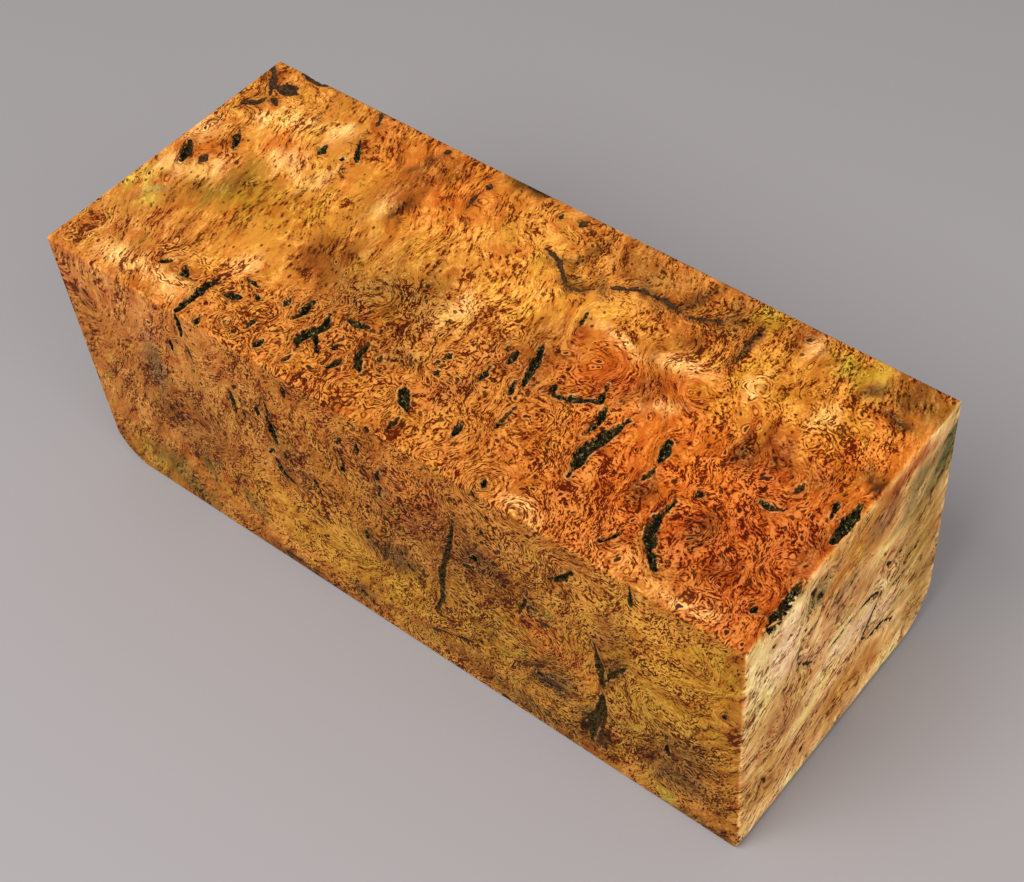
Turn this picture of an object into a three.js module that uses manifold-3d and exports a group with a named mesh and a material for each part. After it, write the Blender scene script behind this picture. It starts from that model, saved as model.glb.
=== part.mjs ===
// Maple burl turning blank: one solid sawn block of burl wood.
// Millimetres, +Z up. The origin is the middle of the underside, +X runs along
// the block's length, and the front long face looks along -Y.
import * as THREE from 'three';
import { mergeVertices } from 'three/addons/utils/BufferGeometryUtils.js';
import Module from 'manifold-3d';

// Driving dimensions of the sawn block.
const LENGTH = 128;
const WIDTH = 51;
const HEIGHT = 50;

// Rounds along the block's edges. The two large ones are where the burl's
// rounded outside reached the corner of the sawn block.
const WANE_LEFT_BOTTOM = 8;
const WANE_BACK_BOTTOM = 12;
const EASE_RIGHT_BOTTOM = 2;
const EASE_SAWN = 0.5;
const ARC_STEPS = 4;

// Bark pockets: shallow open seams of ingrown bark, cut into a sanded face.
// Each route is given in that face's own coordinates, measured from the block's
// front-left-bottom corner: x and y on top, x and z in front.
const POCKET_DEPTH = 0.9;
const CAP_STEPS = 4;
const TOP_POCKETS = [
  { width: 2.2, route: [[93.5, 21.7], [92.5, 17.2], [91.9, 13.1], [92.9, 9.4]] },
  { width: 1.6, route: [[100.1, 22.5], [100.8, 20.3], [101.3, 18.0]] },
  { width: 1.6, route: [[106.8, 14.3], [106.6, 11.5], [107.2, 8.2], [108.9, 5.8], [111.3, 3.7]] },
  { width: 1.2, route: [[104.2, 6.2], [102.9, 3.3]] },
  { width: 1.8, route: [[46.5, 13.0], [47.5, 10.5], [46.4, 8.3], [46.3, 6.5], [47.2, 5.0]] },
  { width: 1.2, route: [[55.0, 12.5], [55.3, 9.5], [56.5, 8.0], [58.5, 6.5]] },
  { width: 1.5, route: [[64.3, 9.0], [66.0, 7.0], [68.0, 5.5]] },
  { width: 1.4, route: [[28.2, 9.0], [27.5, 5.0], [27.7, -1.0]] },
  { width: 1.8, route: [[2.3, 28.3], [3.6, 26.4], [4.5, 24.2]] },
  { width: 0.9, route: [[88.4, 22.5], [86.0, 20.9], [82.3, 19.6]] },
  { width: 1.0, route: [[90.0, 22.5], [90.6, 19.0], [90.0, 16.5]] },
  { width: 1.3, route: [[75.2, 26.2], [76.7, 22.0], [78.0, 18.0]] },
  { width: 0.9, route: [[2.4, 47.0], [3.9, 45.0], [5.2, 43.2], [4.5, 41.2], [2.9, 40.0]] },
  { width: 1.4, route: [[7.2, 34.5], [9.0, 31.0]] },
];
const FRONT_POCKETS = [
  {
    width: 2.4,
    route: [[103.5, 31.0], [104.3, 26.0], [104.5, 20.0], [104.0, 14.0], [102.1, 10.0], [101.8, 4.5]],
  },
  { width: 1.3, route: [[79.5, 40.0], [78.0, 33.0], [75.5, 25.0], [74.5, 18.0], [73.0, 14.0]] },
  { width: 1.4, route: [[43.3, 37.5], [44.0, 32.0]] },
  { width: 1.2, route: [[43.0, 28.0], [44.0, 25.3], [46.3, 24.0]] },
  { width: 1.2, route: [[27.7, 51.0], [27.8, 44.5]] },
];

const burlWood = new THREE.MeshStandardMaterial({
  name: 'burl_wood',
  color: 0xb97a3c,
  roughness: 0.5,
  metalness: 0,
});

const wasm = await Module();
wasm.setup();

// A closed three.js geometry as a manifold solid.
function solidFrom(geometry) {
  const bare = geometry.clone();
  bare.deleteAttribute('normal');
  bare.deleteAttribute('uv');
  const merged = mergeVertices(bare, 1e-4);
  return new wasm.Manifold(new wasm.Mesh({
    numProp: 3,
    vertProperties: new Float32Array(merged.attributes.position.array),
    triVerts: new Uint32Array(merged.index.array),
  }));
}

// A manifold solid as a three.js geometry.
function geometryFrom(solid) {
  const mesh = solid.getMesh();
  const geometry = new THREE.BufferGeometry();
  geometry.setAttribute('position', new THREE.BufferAttribute(mesh.vertProperties, 3));
  geometry.setIndex(new THREE.BufferAttribute(mesh.triVerts, 1));
  geometry.computeVertexNormals();
  return geometry;
}

// A rectangle from (0, 0) to (width, height) with its own round at each corner.
function roundedRectangle(width, height, corners) {
  const { bottomLeft, bottomRight, topRight, topLeft } = corners;
  const quarter = Math.PI / 2;
  const shape = new THREE.Shape();
  shape.moveTo(bottomLeft, 0);
  shape.lineTo(width - bottomRight, 0);
  shape.absarc(width - bottomRight, bottomRight, bottomRight, -quarter, 0);
  shape.lineTo(width, height - topRight);
  shape.absarc(width - topRight, height - topRight, topRight, 0, quarter);
  shape.lineTo(topLeft, height);
  shape.absarc(topLeft, height - topLeft, topLeft, quarter, 2 * quarter);
  shape.lineTo(0, bottomLeft);
  shape.absarc(bottomLeft, bottomLeft, bottomLeft, 2 * quarter, 3 * quarter);
  return shape;
}

// An outline as a solid: its own x and y go to the given axes, and it is
// extruded along their cross product from start by length.
function extrudedSolid(shape, xAxis, yAxis, origin, length) {
  const geometry = new THREE.ExtrudeGeometry(shape, {
    depth: length,
    bevelEnabled: false,
    curveSegments: ARC_STEPS,
  });
  const along = new THREE.Vector3().crossVectors(xAxis, yAxis);
  const place = new THREE.Matrix4().makeBasis(xAxis, yAxis, along).setPosition(origin);
  return solidFrom(geometry.applyMatrix4(place));
}

const X = new THREE.Vector3(1, 0, 0);
const Y = new THREE.Vector3(0, 1, 0);
const Z = new THREE.Vector3(0, 0, 1);

// The block is what the front, end and plan outlines have in common.
function sawnBlock() {
  const past = 1;
  const front = roundedRectangle(LENGTH, HEIGHT, {
    bottomLeft: WANE_LEFT_BOTTOM,
    bottomRight: EASE_RIGHT_BOTTOM,
    topRight: EASE_SAWN,
    topLeft: EASE_SAWN,
  });
  const end = roundedRectangle(WIDTH, HEIGHT, {
    bottomLeft: EASE_SAWN,
    bottomRight: WANE_BACK_BOTTOM,
    topRight: EASE_SAWN,
    topLeft: EASE_SAWN,
  });
  const plan = roundedRectangle(LENGTH, WIDTH, {
    bottomLeft: EASE_SAWN,
    bottomRight: EASE_SAWN,
    topRight: EASE_SAWN,
    topLeft: EASE_SAWN,
  });
  const alongY = extrudedSolid(front, X, Z, new THREE.Vector3(0, WIDTH + past, 0), WIDTH + 2 * past);
  const alongX = extrudedSolid(end, Y, Z, new THREE.Vector3(-past, 0, 0), LENGTH + 2 * past);
  const alongZ = extrudedSolid(plan, X, Y, new THREE.Vector3(0, 0, -past), HEIGHT + 2 * past);
  return alongY.intersect(alongX).intersect(alongZ);
}

// The outline of a pocket: its route widened to both sides, with round ends.
function pocketOutline({ width, route }) {
  const points = route.map(([u, v]) => new THREE.Vector2(u, v));
  const last = points.length - 1;
  const half = width / 2;
  const heading = points.map((point, i) => {
    const from = points[Math.max(i - 1, 0)];
    const to = points[Math.min(i + 1, last)];
    return new THREE.Vector2().subVectors(to, from).angle();
  });
  const beside = (i, turn) => new THREE.Vector2(
    points[i].x + half * Math.cos(heading[i] + turn),
    points[i].y + half * Math.sin(heading[i] + turn),
  );
  const outline = [];
  for (let i = 0; i <= last; i += 1) outline.push(beside(i, -Math.PI / 2));
  for (let k = 1; k < CAP_STEPS; k += 1) outline.push(beside(last, -Math.PI / 2 + (k * Math.PI) / CAP_STEPS));
  for (let i = last; i >= 0; i -= 1) outline.push(beside(i, Math.PI / 2));
  for (let k = 1; k < CAP_STEPS; k += 1) outline.push(beside(0, Math.PI / 2 + (k * Math.PI) / CAP_STEPS));
  return new THREE.Shape(outline);
}

// Cuts each pocket into the face whose own axes and level are given.
function cutPockets(block, pockets, xAxis, yAxis, faceLevel) {
  const outward = new THREE.Vector3().crossVectors(xAxis, yAxis);
  const origin = outward.clone().multiplyScalar(faceLevel - POCKET_DEPTH);
  return pockets.reduce((solid, pocket) => (
    solid.subtract(extrudedSolid(pocketOutline(pocket), xAxis, yAxis, origin, 2 * POCKET_DEPTH))
  ), block);
}

function burlBlock() {
  let solid = sawnBlock();
  solid = cutPockets(solid, TOP_POCKETS, X, Y, HEIGHT);
  solid = cutPockets(solid, FRONT_POCKETS, X, Z, 0);
  const mesh = new THREE.Mesh(geometryFrom(solid), burlWood);
  mesh.name = 'burl_block';
  mesh.position.set(-LENGTH / 2, -WIDTH / 2, 0);
  return mesh;
}

const burl = new THREE.Group();
burl.add(burlBlock());

export default burl;
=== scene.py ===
"""A sawn and sanded block of maple burl, standing on a pale sheet in soft studio light.

The block is one piece of wood. Its mesh is a cube cut into a fine grid, rounded along its edges and
opened where bark grew into the wood. What the wood shows (the run of its fibres, its stains, eyes,
pips and bark) is worked out for each vertex from listed features, and drawn by the material.
Lengths are in millimetres, counted from the block's front-left-bottom corner, unless they say metres.
"""
import logging
import math
from dataclasses import dataclass
from enum import Enum

import bpy
import numpy as np
from mathutils import Matrix, Vector


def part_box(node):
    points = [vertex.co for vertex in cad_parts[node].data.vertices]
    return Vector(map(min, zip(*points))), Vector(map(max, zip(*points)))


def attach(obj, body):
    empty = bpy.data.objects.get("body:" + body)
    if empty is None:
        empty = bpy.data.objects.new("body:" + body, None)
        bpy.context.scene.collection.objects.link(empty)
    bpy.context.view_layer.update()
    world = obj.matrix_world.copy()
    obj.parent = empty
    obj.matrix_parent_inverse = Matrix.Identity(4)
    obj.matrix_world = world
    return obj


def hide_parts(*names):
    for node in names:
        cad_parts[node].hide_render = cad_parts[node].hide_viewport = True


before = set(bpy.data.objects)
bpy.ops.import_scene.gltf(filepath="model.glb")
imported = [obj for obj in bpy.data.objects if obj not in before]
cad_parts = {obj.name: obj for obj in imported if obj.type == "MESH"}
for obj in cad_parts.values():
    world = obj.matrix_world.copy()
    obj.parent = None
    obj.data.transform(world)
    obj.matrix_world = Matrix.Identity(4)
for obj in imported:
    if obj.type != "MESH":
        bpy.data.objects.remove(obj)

LOG = logging.getLogger("maple_burl")
MM = 0.001
NODE = "burl_block"
SEED = 41
# What bare wood gives back of its colour under a full light, and how far its pale zones stand out.
REFLECTED = np.array([0.71, 0.64, 0.44])
ZONE_CONTRAST = 0.38
BRIGHTEST = 0.86
LUMINANCE = np.array([0.2126, 0.7152, 0.0722])
# Pockets and rims further off than this are not looked for.
FAR_POCKET = 9.0
FAR_RIM = 6.0
# The curl and the share of pips between the patches.
PLAIN_CURL = 0.12
PLAIN_PIPS = 0.04
# How deep a stain's colour, and the effect of an eye or a patch, goes into the block.
STAIN_DEPTH = 0.4
FIGURE_DEPTH = 3.0

Point2 = tuple[float, float]
Colour = tuple[float, float, float]


def linear(red: int, green: int, blue: int) -> Colour:
    """The linear colour of an 8-bit screen colour.

    Args:
        red: red, 0 to 255.
        green: green, 0 to 255.
        blue: blue, 0 to 255.

    Returns:
        The colour as three linear numbers.
    """
    shares = [channel / 255 for channel in (red, green, blue)]
    return tuple(s / 12.92 if s <= 0.04045 else ((s + 0.055) / 1.055) ** 2.4 for s in shares)


class Side(Enum):
    """A side of the block: its own two axes, its outward axis, and whether it lies at the far end."""

    TOP = (0, 1, 2, True)
    FRONT = (0, 2, 1, False)
    RIGHT = (1, 2, 0, True)
    BACK = (0, 2, 1, True)
    LEFT = (1, 2, 0, False)
    UNDER = (0, 1, 2, False)

    @property
    def across(self) -> tuple[int, int]:
        """The two axes that a place on this side is given along."""
        return self.value[0], self.value[1]

    @property
    def outward(self) -> int:
        """The axis that this side faces along."""
        return self.value[2]

    def level(self, size: np.ndarray) -> float:
        """Where this side lies on its outward axis, for a block of that size."""
        return float(size[self.outward]) if self.value[3] else 0.0

    def place(self, spot: Point2, size: np.ndarray) -> np.ndarray:
        """A spot on this side as a point of the block.

        Args:
            spot: the spot, along the side's own two axes.
            size: the block's length, width and height.

        Returns:
            The point.
        """
        point = np.empty(3)
        point[self.across[0]] = spot[0]
        point[self.across[1]] = spot[1]
        point[self.outward] = self.level(size)
        return point


class Hue(Enum):
    """The wood's colours, as screen colours in full light."""

    AMBER = (192, 114, 46)
    ORANGE = (208, 108, 32)
    RUST = (190, 86, 26)
    RED_BROWN = (150, 72, 24)
    BROWN = (128, 72, 20)
    UMBER = (86, 46, 18)
    DARK = (50, 28, 14)
    HONEY = (214, 146, 64)
    GOLD = (204, 143, 46)
    CREAM = (234, 181, 124)
    PALE = (240, 198, 140)
    SALMON = (212, 138, 82)
    TAN = (198, 132, 68)
    OLIVE_GOLD = (178, 130, 38)
    OLIVE = (126, 100, 38)
    LIME = (184, 164, 72)
    OLIVE_BROWN = (118, 78, 28)
    GREY_BROWN = (134, 98, 64)
    SAPWOOD = (247, 203, 158)
    PINK_CREAM = (235, 199, 179)
    PLUM_BROWN = (166, 116, 82)
    GREY_GREEN = (136, 132, 82)
    GREEN = (92, 108, 66)

    @property
    def colour(self) -> np.ndarray:
        """The linear colour."""
        return np.array(linear(*self.value))


class Filling(Enum):
    """What a pocket holds: the value its attribute takes, and how deep it lies open."""

    BARK = (0.0, 0.85)
    OLIVE = (0.5, 0.45)
    BROWN = (1.0, 0.25)

    @property
    def kind(self) -> float:
        """The number that the material reads."""
        return self.value[0]

    @property
    def depth(self) -> float:
        """How deep such a pocket lies open."""
        return self.value[1]


@dataclass(frozen=True)
class Pocket:
    """A seam or hole where bark or a crack shows, along a route on one side."""

    width: float
    route: tuple[Point2, ...]
    filling: Filling = Filling.BARK


@dataclass(frozen=True)
class Eye:
    """A round eye that the fibres run around. A rim above 0 outlines it."""

    centre: Point2
    reach: Point2
    swell: float = 1.6
    rim: float = 1.0


@dataclass(frozen=True)
class Stain:
    """A soft patch of another colour, leaning by an angle in degrees on its side."""

    hue: Hue
    centre: Point2
    reach: Point2
    strength: float = 0.8
    lean: float = 0.0


@dataclass(frozen=True)
class Patch:
    """A soft patch that is curlier, or richer in pips, than its surroundings."""

    centre: Point2
    reach: Point2
    curl: float
    pips: float


@dataclass(frozen=True)
class SideFigure:
    """All that one side shows."""

    ground: Hue
    pockets: tuple[Pocket, ...] = ()
    eyes: tuple[Eye, ...] = ()
    stains: tuple[Stain, ...] = ()
    patches: tuple[Patch, ...] = ()


BROWN = Filling.BROWN
OLIVE = Filling.OLIVE

TOP_POCKETS = (
    # The large dark seams on the right.
    Pocket(2.2, ((93.5, 21.7), (92.5, 17.2), (91.9, 13.1), (92.9, 9.4))),
    Pocket(1.6, ((100.1, 22.5), (100.8, 20.3), (101.3, 18.0))),
    Pocket(0.45, ((101.3, 18.0), (101.4, 16.0), (101.0, 13.6))),
    Pocket(1.6, ((106.8, 14.3), (106.6, 11.5), (107.2, 8.2), (108.9, 5.8), (111.3, 3.7))),
    Pocket(1.2, ((104.2, 6.2), (102.9, 3.3))),
    Pocket(0.9, ((87.2, 25.7), (88.4, 22.5), (86.0, 20.9), (82.3, 19.6), (81.5, 20.9), (80.7, 18.8))),
    Pocket(1.0, ((89.5, 22.5), (90.6, 19.0), (90.0, 16.5))),
    Pocket(0.8, ((90.6, 24.3), (90.4, 23.5))),
    Pocket(1.3, ((75.2, 26.2), (76.7, 22.0), (78.0, 18.0))),
    Pocket(0.9, ((76.5, 18.5), (77.2, 16.0))),
    Pocket(0.7, ((79.3, 14.7), (79.7, 10.3))),
    Pocket(1.0, ((73.2, 23.0), (73.5, 20.5))),
    Pocket(0.7, ((71.5, 22.9), (71.3, 21.9))),
    Pocket(0.9, ((71.9, 18.5), (72.3, 15.5))),
    Pocket(0.6, ((76.4, 35.5), (76.9, 33.0), (77.6, 30.7))),
    Pocket(0.45, ((88.7, 35.0), (89.5, 32.3))),
    Pocket(1.0, ((75.4, 8.2), (76.0, 5.0))),
    Pocket(0.9, ((115.8, 20.7), (117.6, 20.7), (119.0, 21.3))),
    Pocket(0.7, ((118.8, 26.5), (118.5, 24.0)), OLIVE),
    Pocket(0.9, ((124.0, 26.5), (124.7, 23.5))),
    Pocket(1.8, ((126.6, 28.0), (127.0, 24.0), (126.9, 20.5))),
    Pocket(1.9, ((127.2, 13.0), (127.9, 9.0), (127.6, 5.0))),
    Pocket(1.5, ((124.4, 6.1), (125.2, 5.9))),
    Pocket(0.8, ((108.9, 17.6), (108.7, 16.6))),
    Pocket(0.8, ((84.2, 2.4), (84.9, 1.4))),
    # The thin dark boundary across the back right.
    Pocket(0.8, ((63.0, 41.8), (67.0, 40.4), (70.6, 37.2), (73.0, 37.4)), BROWN),
    Pocket(0.7, ((72.6, 37.3), (76.0, 40.4), (79.6, 42.4), (84.0, 43.0), (88.4, 42.2)), BROWN),
    Pocket(0.5, ((88.4, 42.2), (92.0, 43.6), (95.5, 46.0)), BROWN),
    # The row of short pockets along the front edge.
    Pocket(1.8, ((46.5, 13.0), (47.5, 10.5), (46.4, 8.3), (46.3, 6.5), (47.2, 5.0))),
    Pocket(0.8, ((47.3, 9.0), (50.0, 6.5))),
    Pocket(1.2, ((55.0, 12.5), (55.3, 9.5), (56.5, 8.0), (58.5, 6.5))),
    Pocket(0.8, ((54.0, 8.0), (53.3, 5.0))),
    Pocket(0.7, ((58.0, 11.5), (58.5, 10.0))),
    Pocket(1.5, ((64.3, 9.0), (66.0, 7.0), (68.0, 5.5))),
    Pocket(1.0, ((67.7, 3.5), (67.7, 1.5))),
    Pocket(1.4, ((28.2, 9.0), (27.5, 5.0), (27.7, -0.2))),
    Pocket(1.2, ((31.0, 7.0), (32.4, 7.3), (34.0, 8.3))),
    Pocket(0.5, ((31.5, 11.2), (34.0, 11.0))),
    Pocket(0.8, ((35.2, 9.6), (35.9, 9.1))),
    Pocket(0.8, ((38.5, 5.8), (38.3, 3.8))),
    Pocket(0.7, ((35.0, 3.6), (35.1, 2.8))),
    Pocket(0.7, ((37.5, 2.7), (37.6, 2.1))),
    Pocket(0.8, ((31.0, 2.0), (32.0, 0.0))),
    Pocket(0.7, ((39.3, 13.0), (40.0, 10.5))),
    Pocket(1.3, ((43.0, 13.5), (42.7, 9.0))),
    Pocket(0.8, ((42.2, 3.8), (42.0, 2.0))),
    Pocket(0.7, ((47.5, 4.0), (47.3, 2.5))),
    Pocket(1.0, ((49.0, 13.8), (51.0, 13.7), (53.0, 14.2))),
    Pocket(0.6, ((51.5, 8.9), (51.5, 8.0))),
    Pocket(0.8, ((65.9, 17.2), (65.6, 16.2))),
    Pocket(0.8, ((65.4, 15.4), (65.2, 14.7))),
    Pocket(0.7, ((66.5, 13.6), (66.6, 12.8))),
    Pocket(0.9, ((18.5, 6.4), (19.3, 7.2), (19.9, 7.8))),
    Pocket(0.7, ((20.4, 6.6), (20.6, 5.8))),
    Pocket(1.1, ((22.2, 7.9), (23.2, 6.8), (25.4, 6.2))),
    # The cracks and lighter inclusions on the left.
    Pocket(1.8, ((2.3, 28.3), (3.6, 26.4), (4.5, 24.2))),
    Pocket(1.8, ((6.5, 26.5), (7.8, 26.6)), BROWN),
    Pocket(1.4, ((7.2, 34.5), (9.0, 31.0))),
    Pocket(1.5, ((20.2, 38.6), (21.9, 38.4))),
    Pocket(1.2, ((21.0, 39.8), (21.3, 37.3))),
    Pocket(0.7, ((24.0, 44.5), (25.5, 42.0), (27.5, 39.3))),
    Pocket(0.5, ((23.0, 42.2), (24.9, 42.7))),
    Pocket(0.6, ((25.0, 39.2), (25.3, 38.4))),
    Pocket(0.6, ((26.5, 37.7), (26.8, 36.8))),
    Pocket(0.6, ((23.0, 50.8), (24.3, 48.0)), BROWN),
    Pocket(1.3, ((0.4, 49.0), (2.4, 47.0), (3.9, 45.0), (5.2, 43.3)), BROWN),
    Pocket(1.2, ((5.2, 43.3), (4.5, 41.2), (2.9, 40.0), (2.4, 38.0)), BROWN),
    Pocket(3.0, ((4.4, 45.4), (6.4, 46.2), (8.4, 46.2)), BROWN),
    Pocket(1.1, ((5.3, 43.3), (7.7, 42.3)), BROWN),
    Pocket(2.0, ((6.0, 50.7), (11.0, 50.5)), BROWN),
    Pocket(0.9, ((37.2, 49.7), (37.9, 49.2)), BROWN),
    Pocket(1.4, ((47.6, 47.0), (48.5, 47.2)), BROWN),
    Pocket(0.5, ((47.9, 46.4), (47.6, 44.5), (48.3, 41.0)), BROWN),
    Pocket(1.0, ((61.0, 48.4), (61.2, 47.6)), BROWN),
    Pocket(1.5, ((64.0, 48.9), (65.5, 48.7)), BROWN),
    Pocket(0.4, ((98.0, 47.0), (98.3, 43.0), (99.2, 38.0)), BROWN),
)

TOP_EYES = (
    Eye((63.0, 6.0), (2.3, 2.8), 2.2),
    Eye((84.5, 1.8), (3.4, 3.2), 2.4),
    Eye((91.5, 0.0), (3.2, 2.8), 2.0),
    Eye((104.4, 37.0), (1.7, 2.1), 2.4),
    Eye((116.0, 33.6), (1.7, 1.9), 2.0),
    Eye((114.8, 36.6), (1.8, 1.4), 1.0, 0.3),
    Eye((84.8, 27.6), (4.2, 4.6), 1.4),
    Eye((21.5, 7.5), (4.6, 3.0), 1.2),
    Eye((4.2, 7.4), (1.6, 2.0), 1.6, 0.4),
    Eye((35.2, 3.4), (2.0, 1.8), 1.6),
    Eye((38.4, 7.2), (2.0, 2.4), 1.6),
    Eye((41.9, 4.4), (1.3, 2.0), 1.4),
    Eye((52.0, 6.4), (1.9, 2.6), 1.8),
    Eye((57.2, 4.0), (2.0, 1.8), 1.6),
    Eye((75.6, 6.6), (2.0, 2.8), 1.8),
    Eye((75.4, 1.6), (1.8, 1.4), 1.6),
    Eye((70.6, 25.6), (1.1, 1.2), 1.6),
    Eye((65.6, 15.6), (1.7, 2.6), 1.6, 0.7),
    Eye((112.3, 13.0), (1.9, 2.2), 1.6, 0.2),
    Eye((123.4, 13.0), (2.2, 2.4), 1.6, 0.4),
    Eye((120.2, 3.4), (2.6, 2.2), 1.8, 0.7),
    Eye((97.4, 31.0), (3.2, 3.4), 1.8, 0.3),
    Eye((83.5, 15.0), (2.6, 2.4), 1.6, 0.6),
    Eye((3.4, 2.0), (1.4, 0.9), 1.4, 0.6),
    Eye((50.0, 20.5), (2.6, 2.0), 1.6, 0.2),
    Eye((93.5, 33.5), (3.6, 2.6), 1.6, 0.2),
    Eye((61.8, 24.2), (2.0, 2.4), 1.6, 0.4),
    Eye((17.4, 27.2), (0.7, 1.0), 1.4, 0.7),
    Eye((106.6, 47.6), (1.3, 2.2), 2.0, 0.5),
    Eye((101.5, 8.8), (2.4, 2.2), 1.8, 0.3),
    Eye((118.0, 25.4), (2.6, 2.6), 1.6, 0.2),
)

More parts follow.
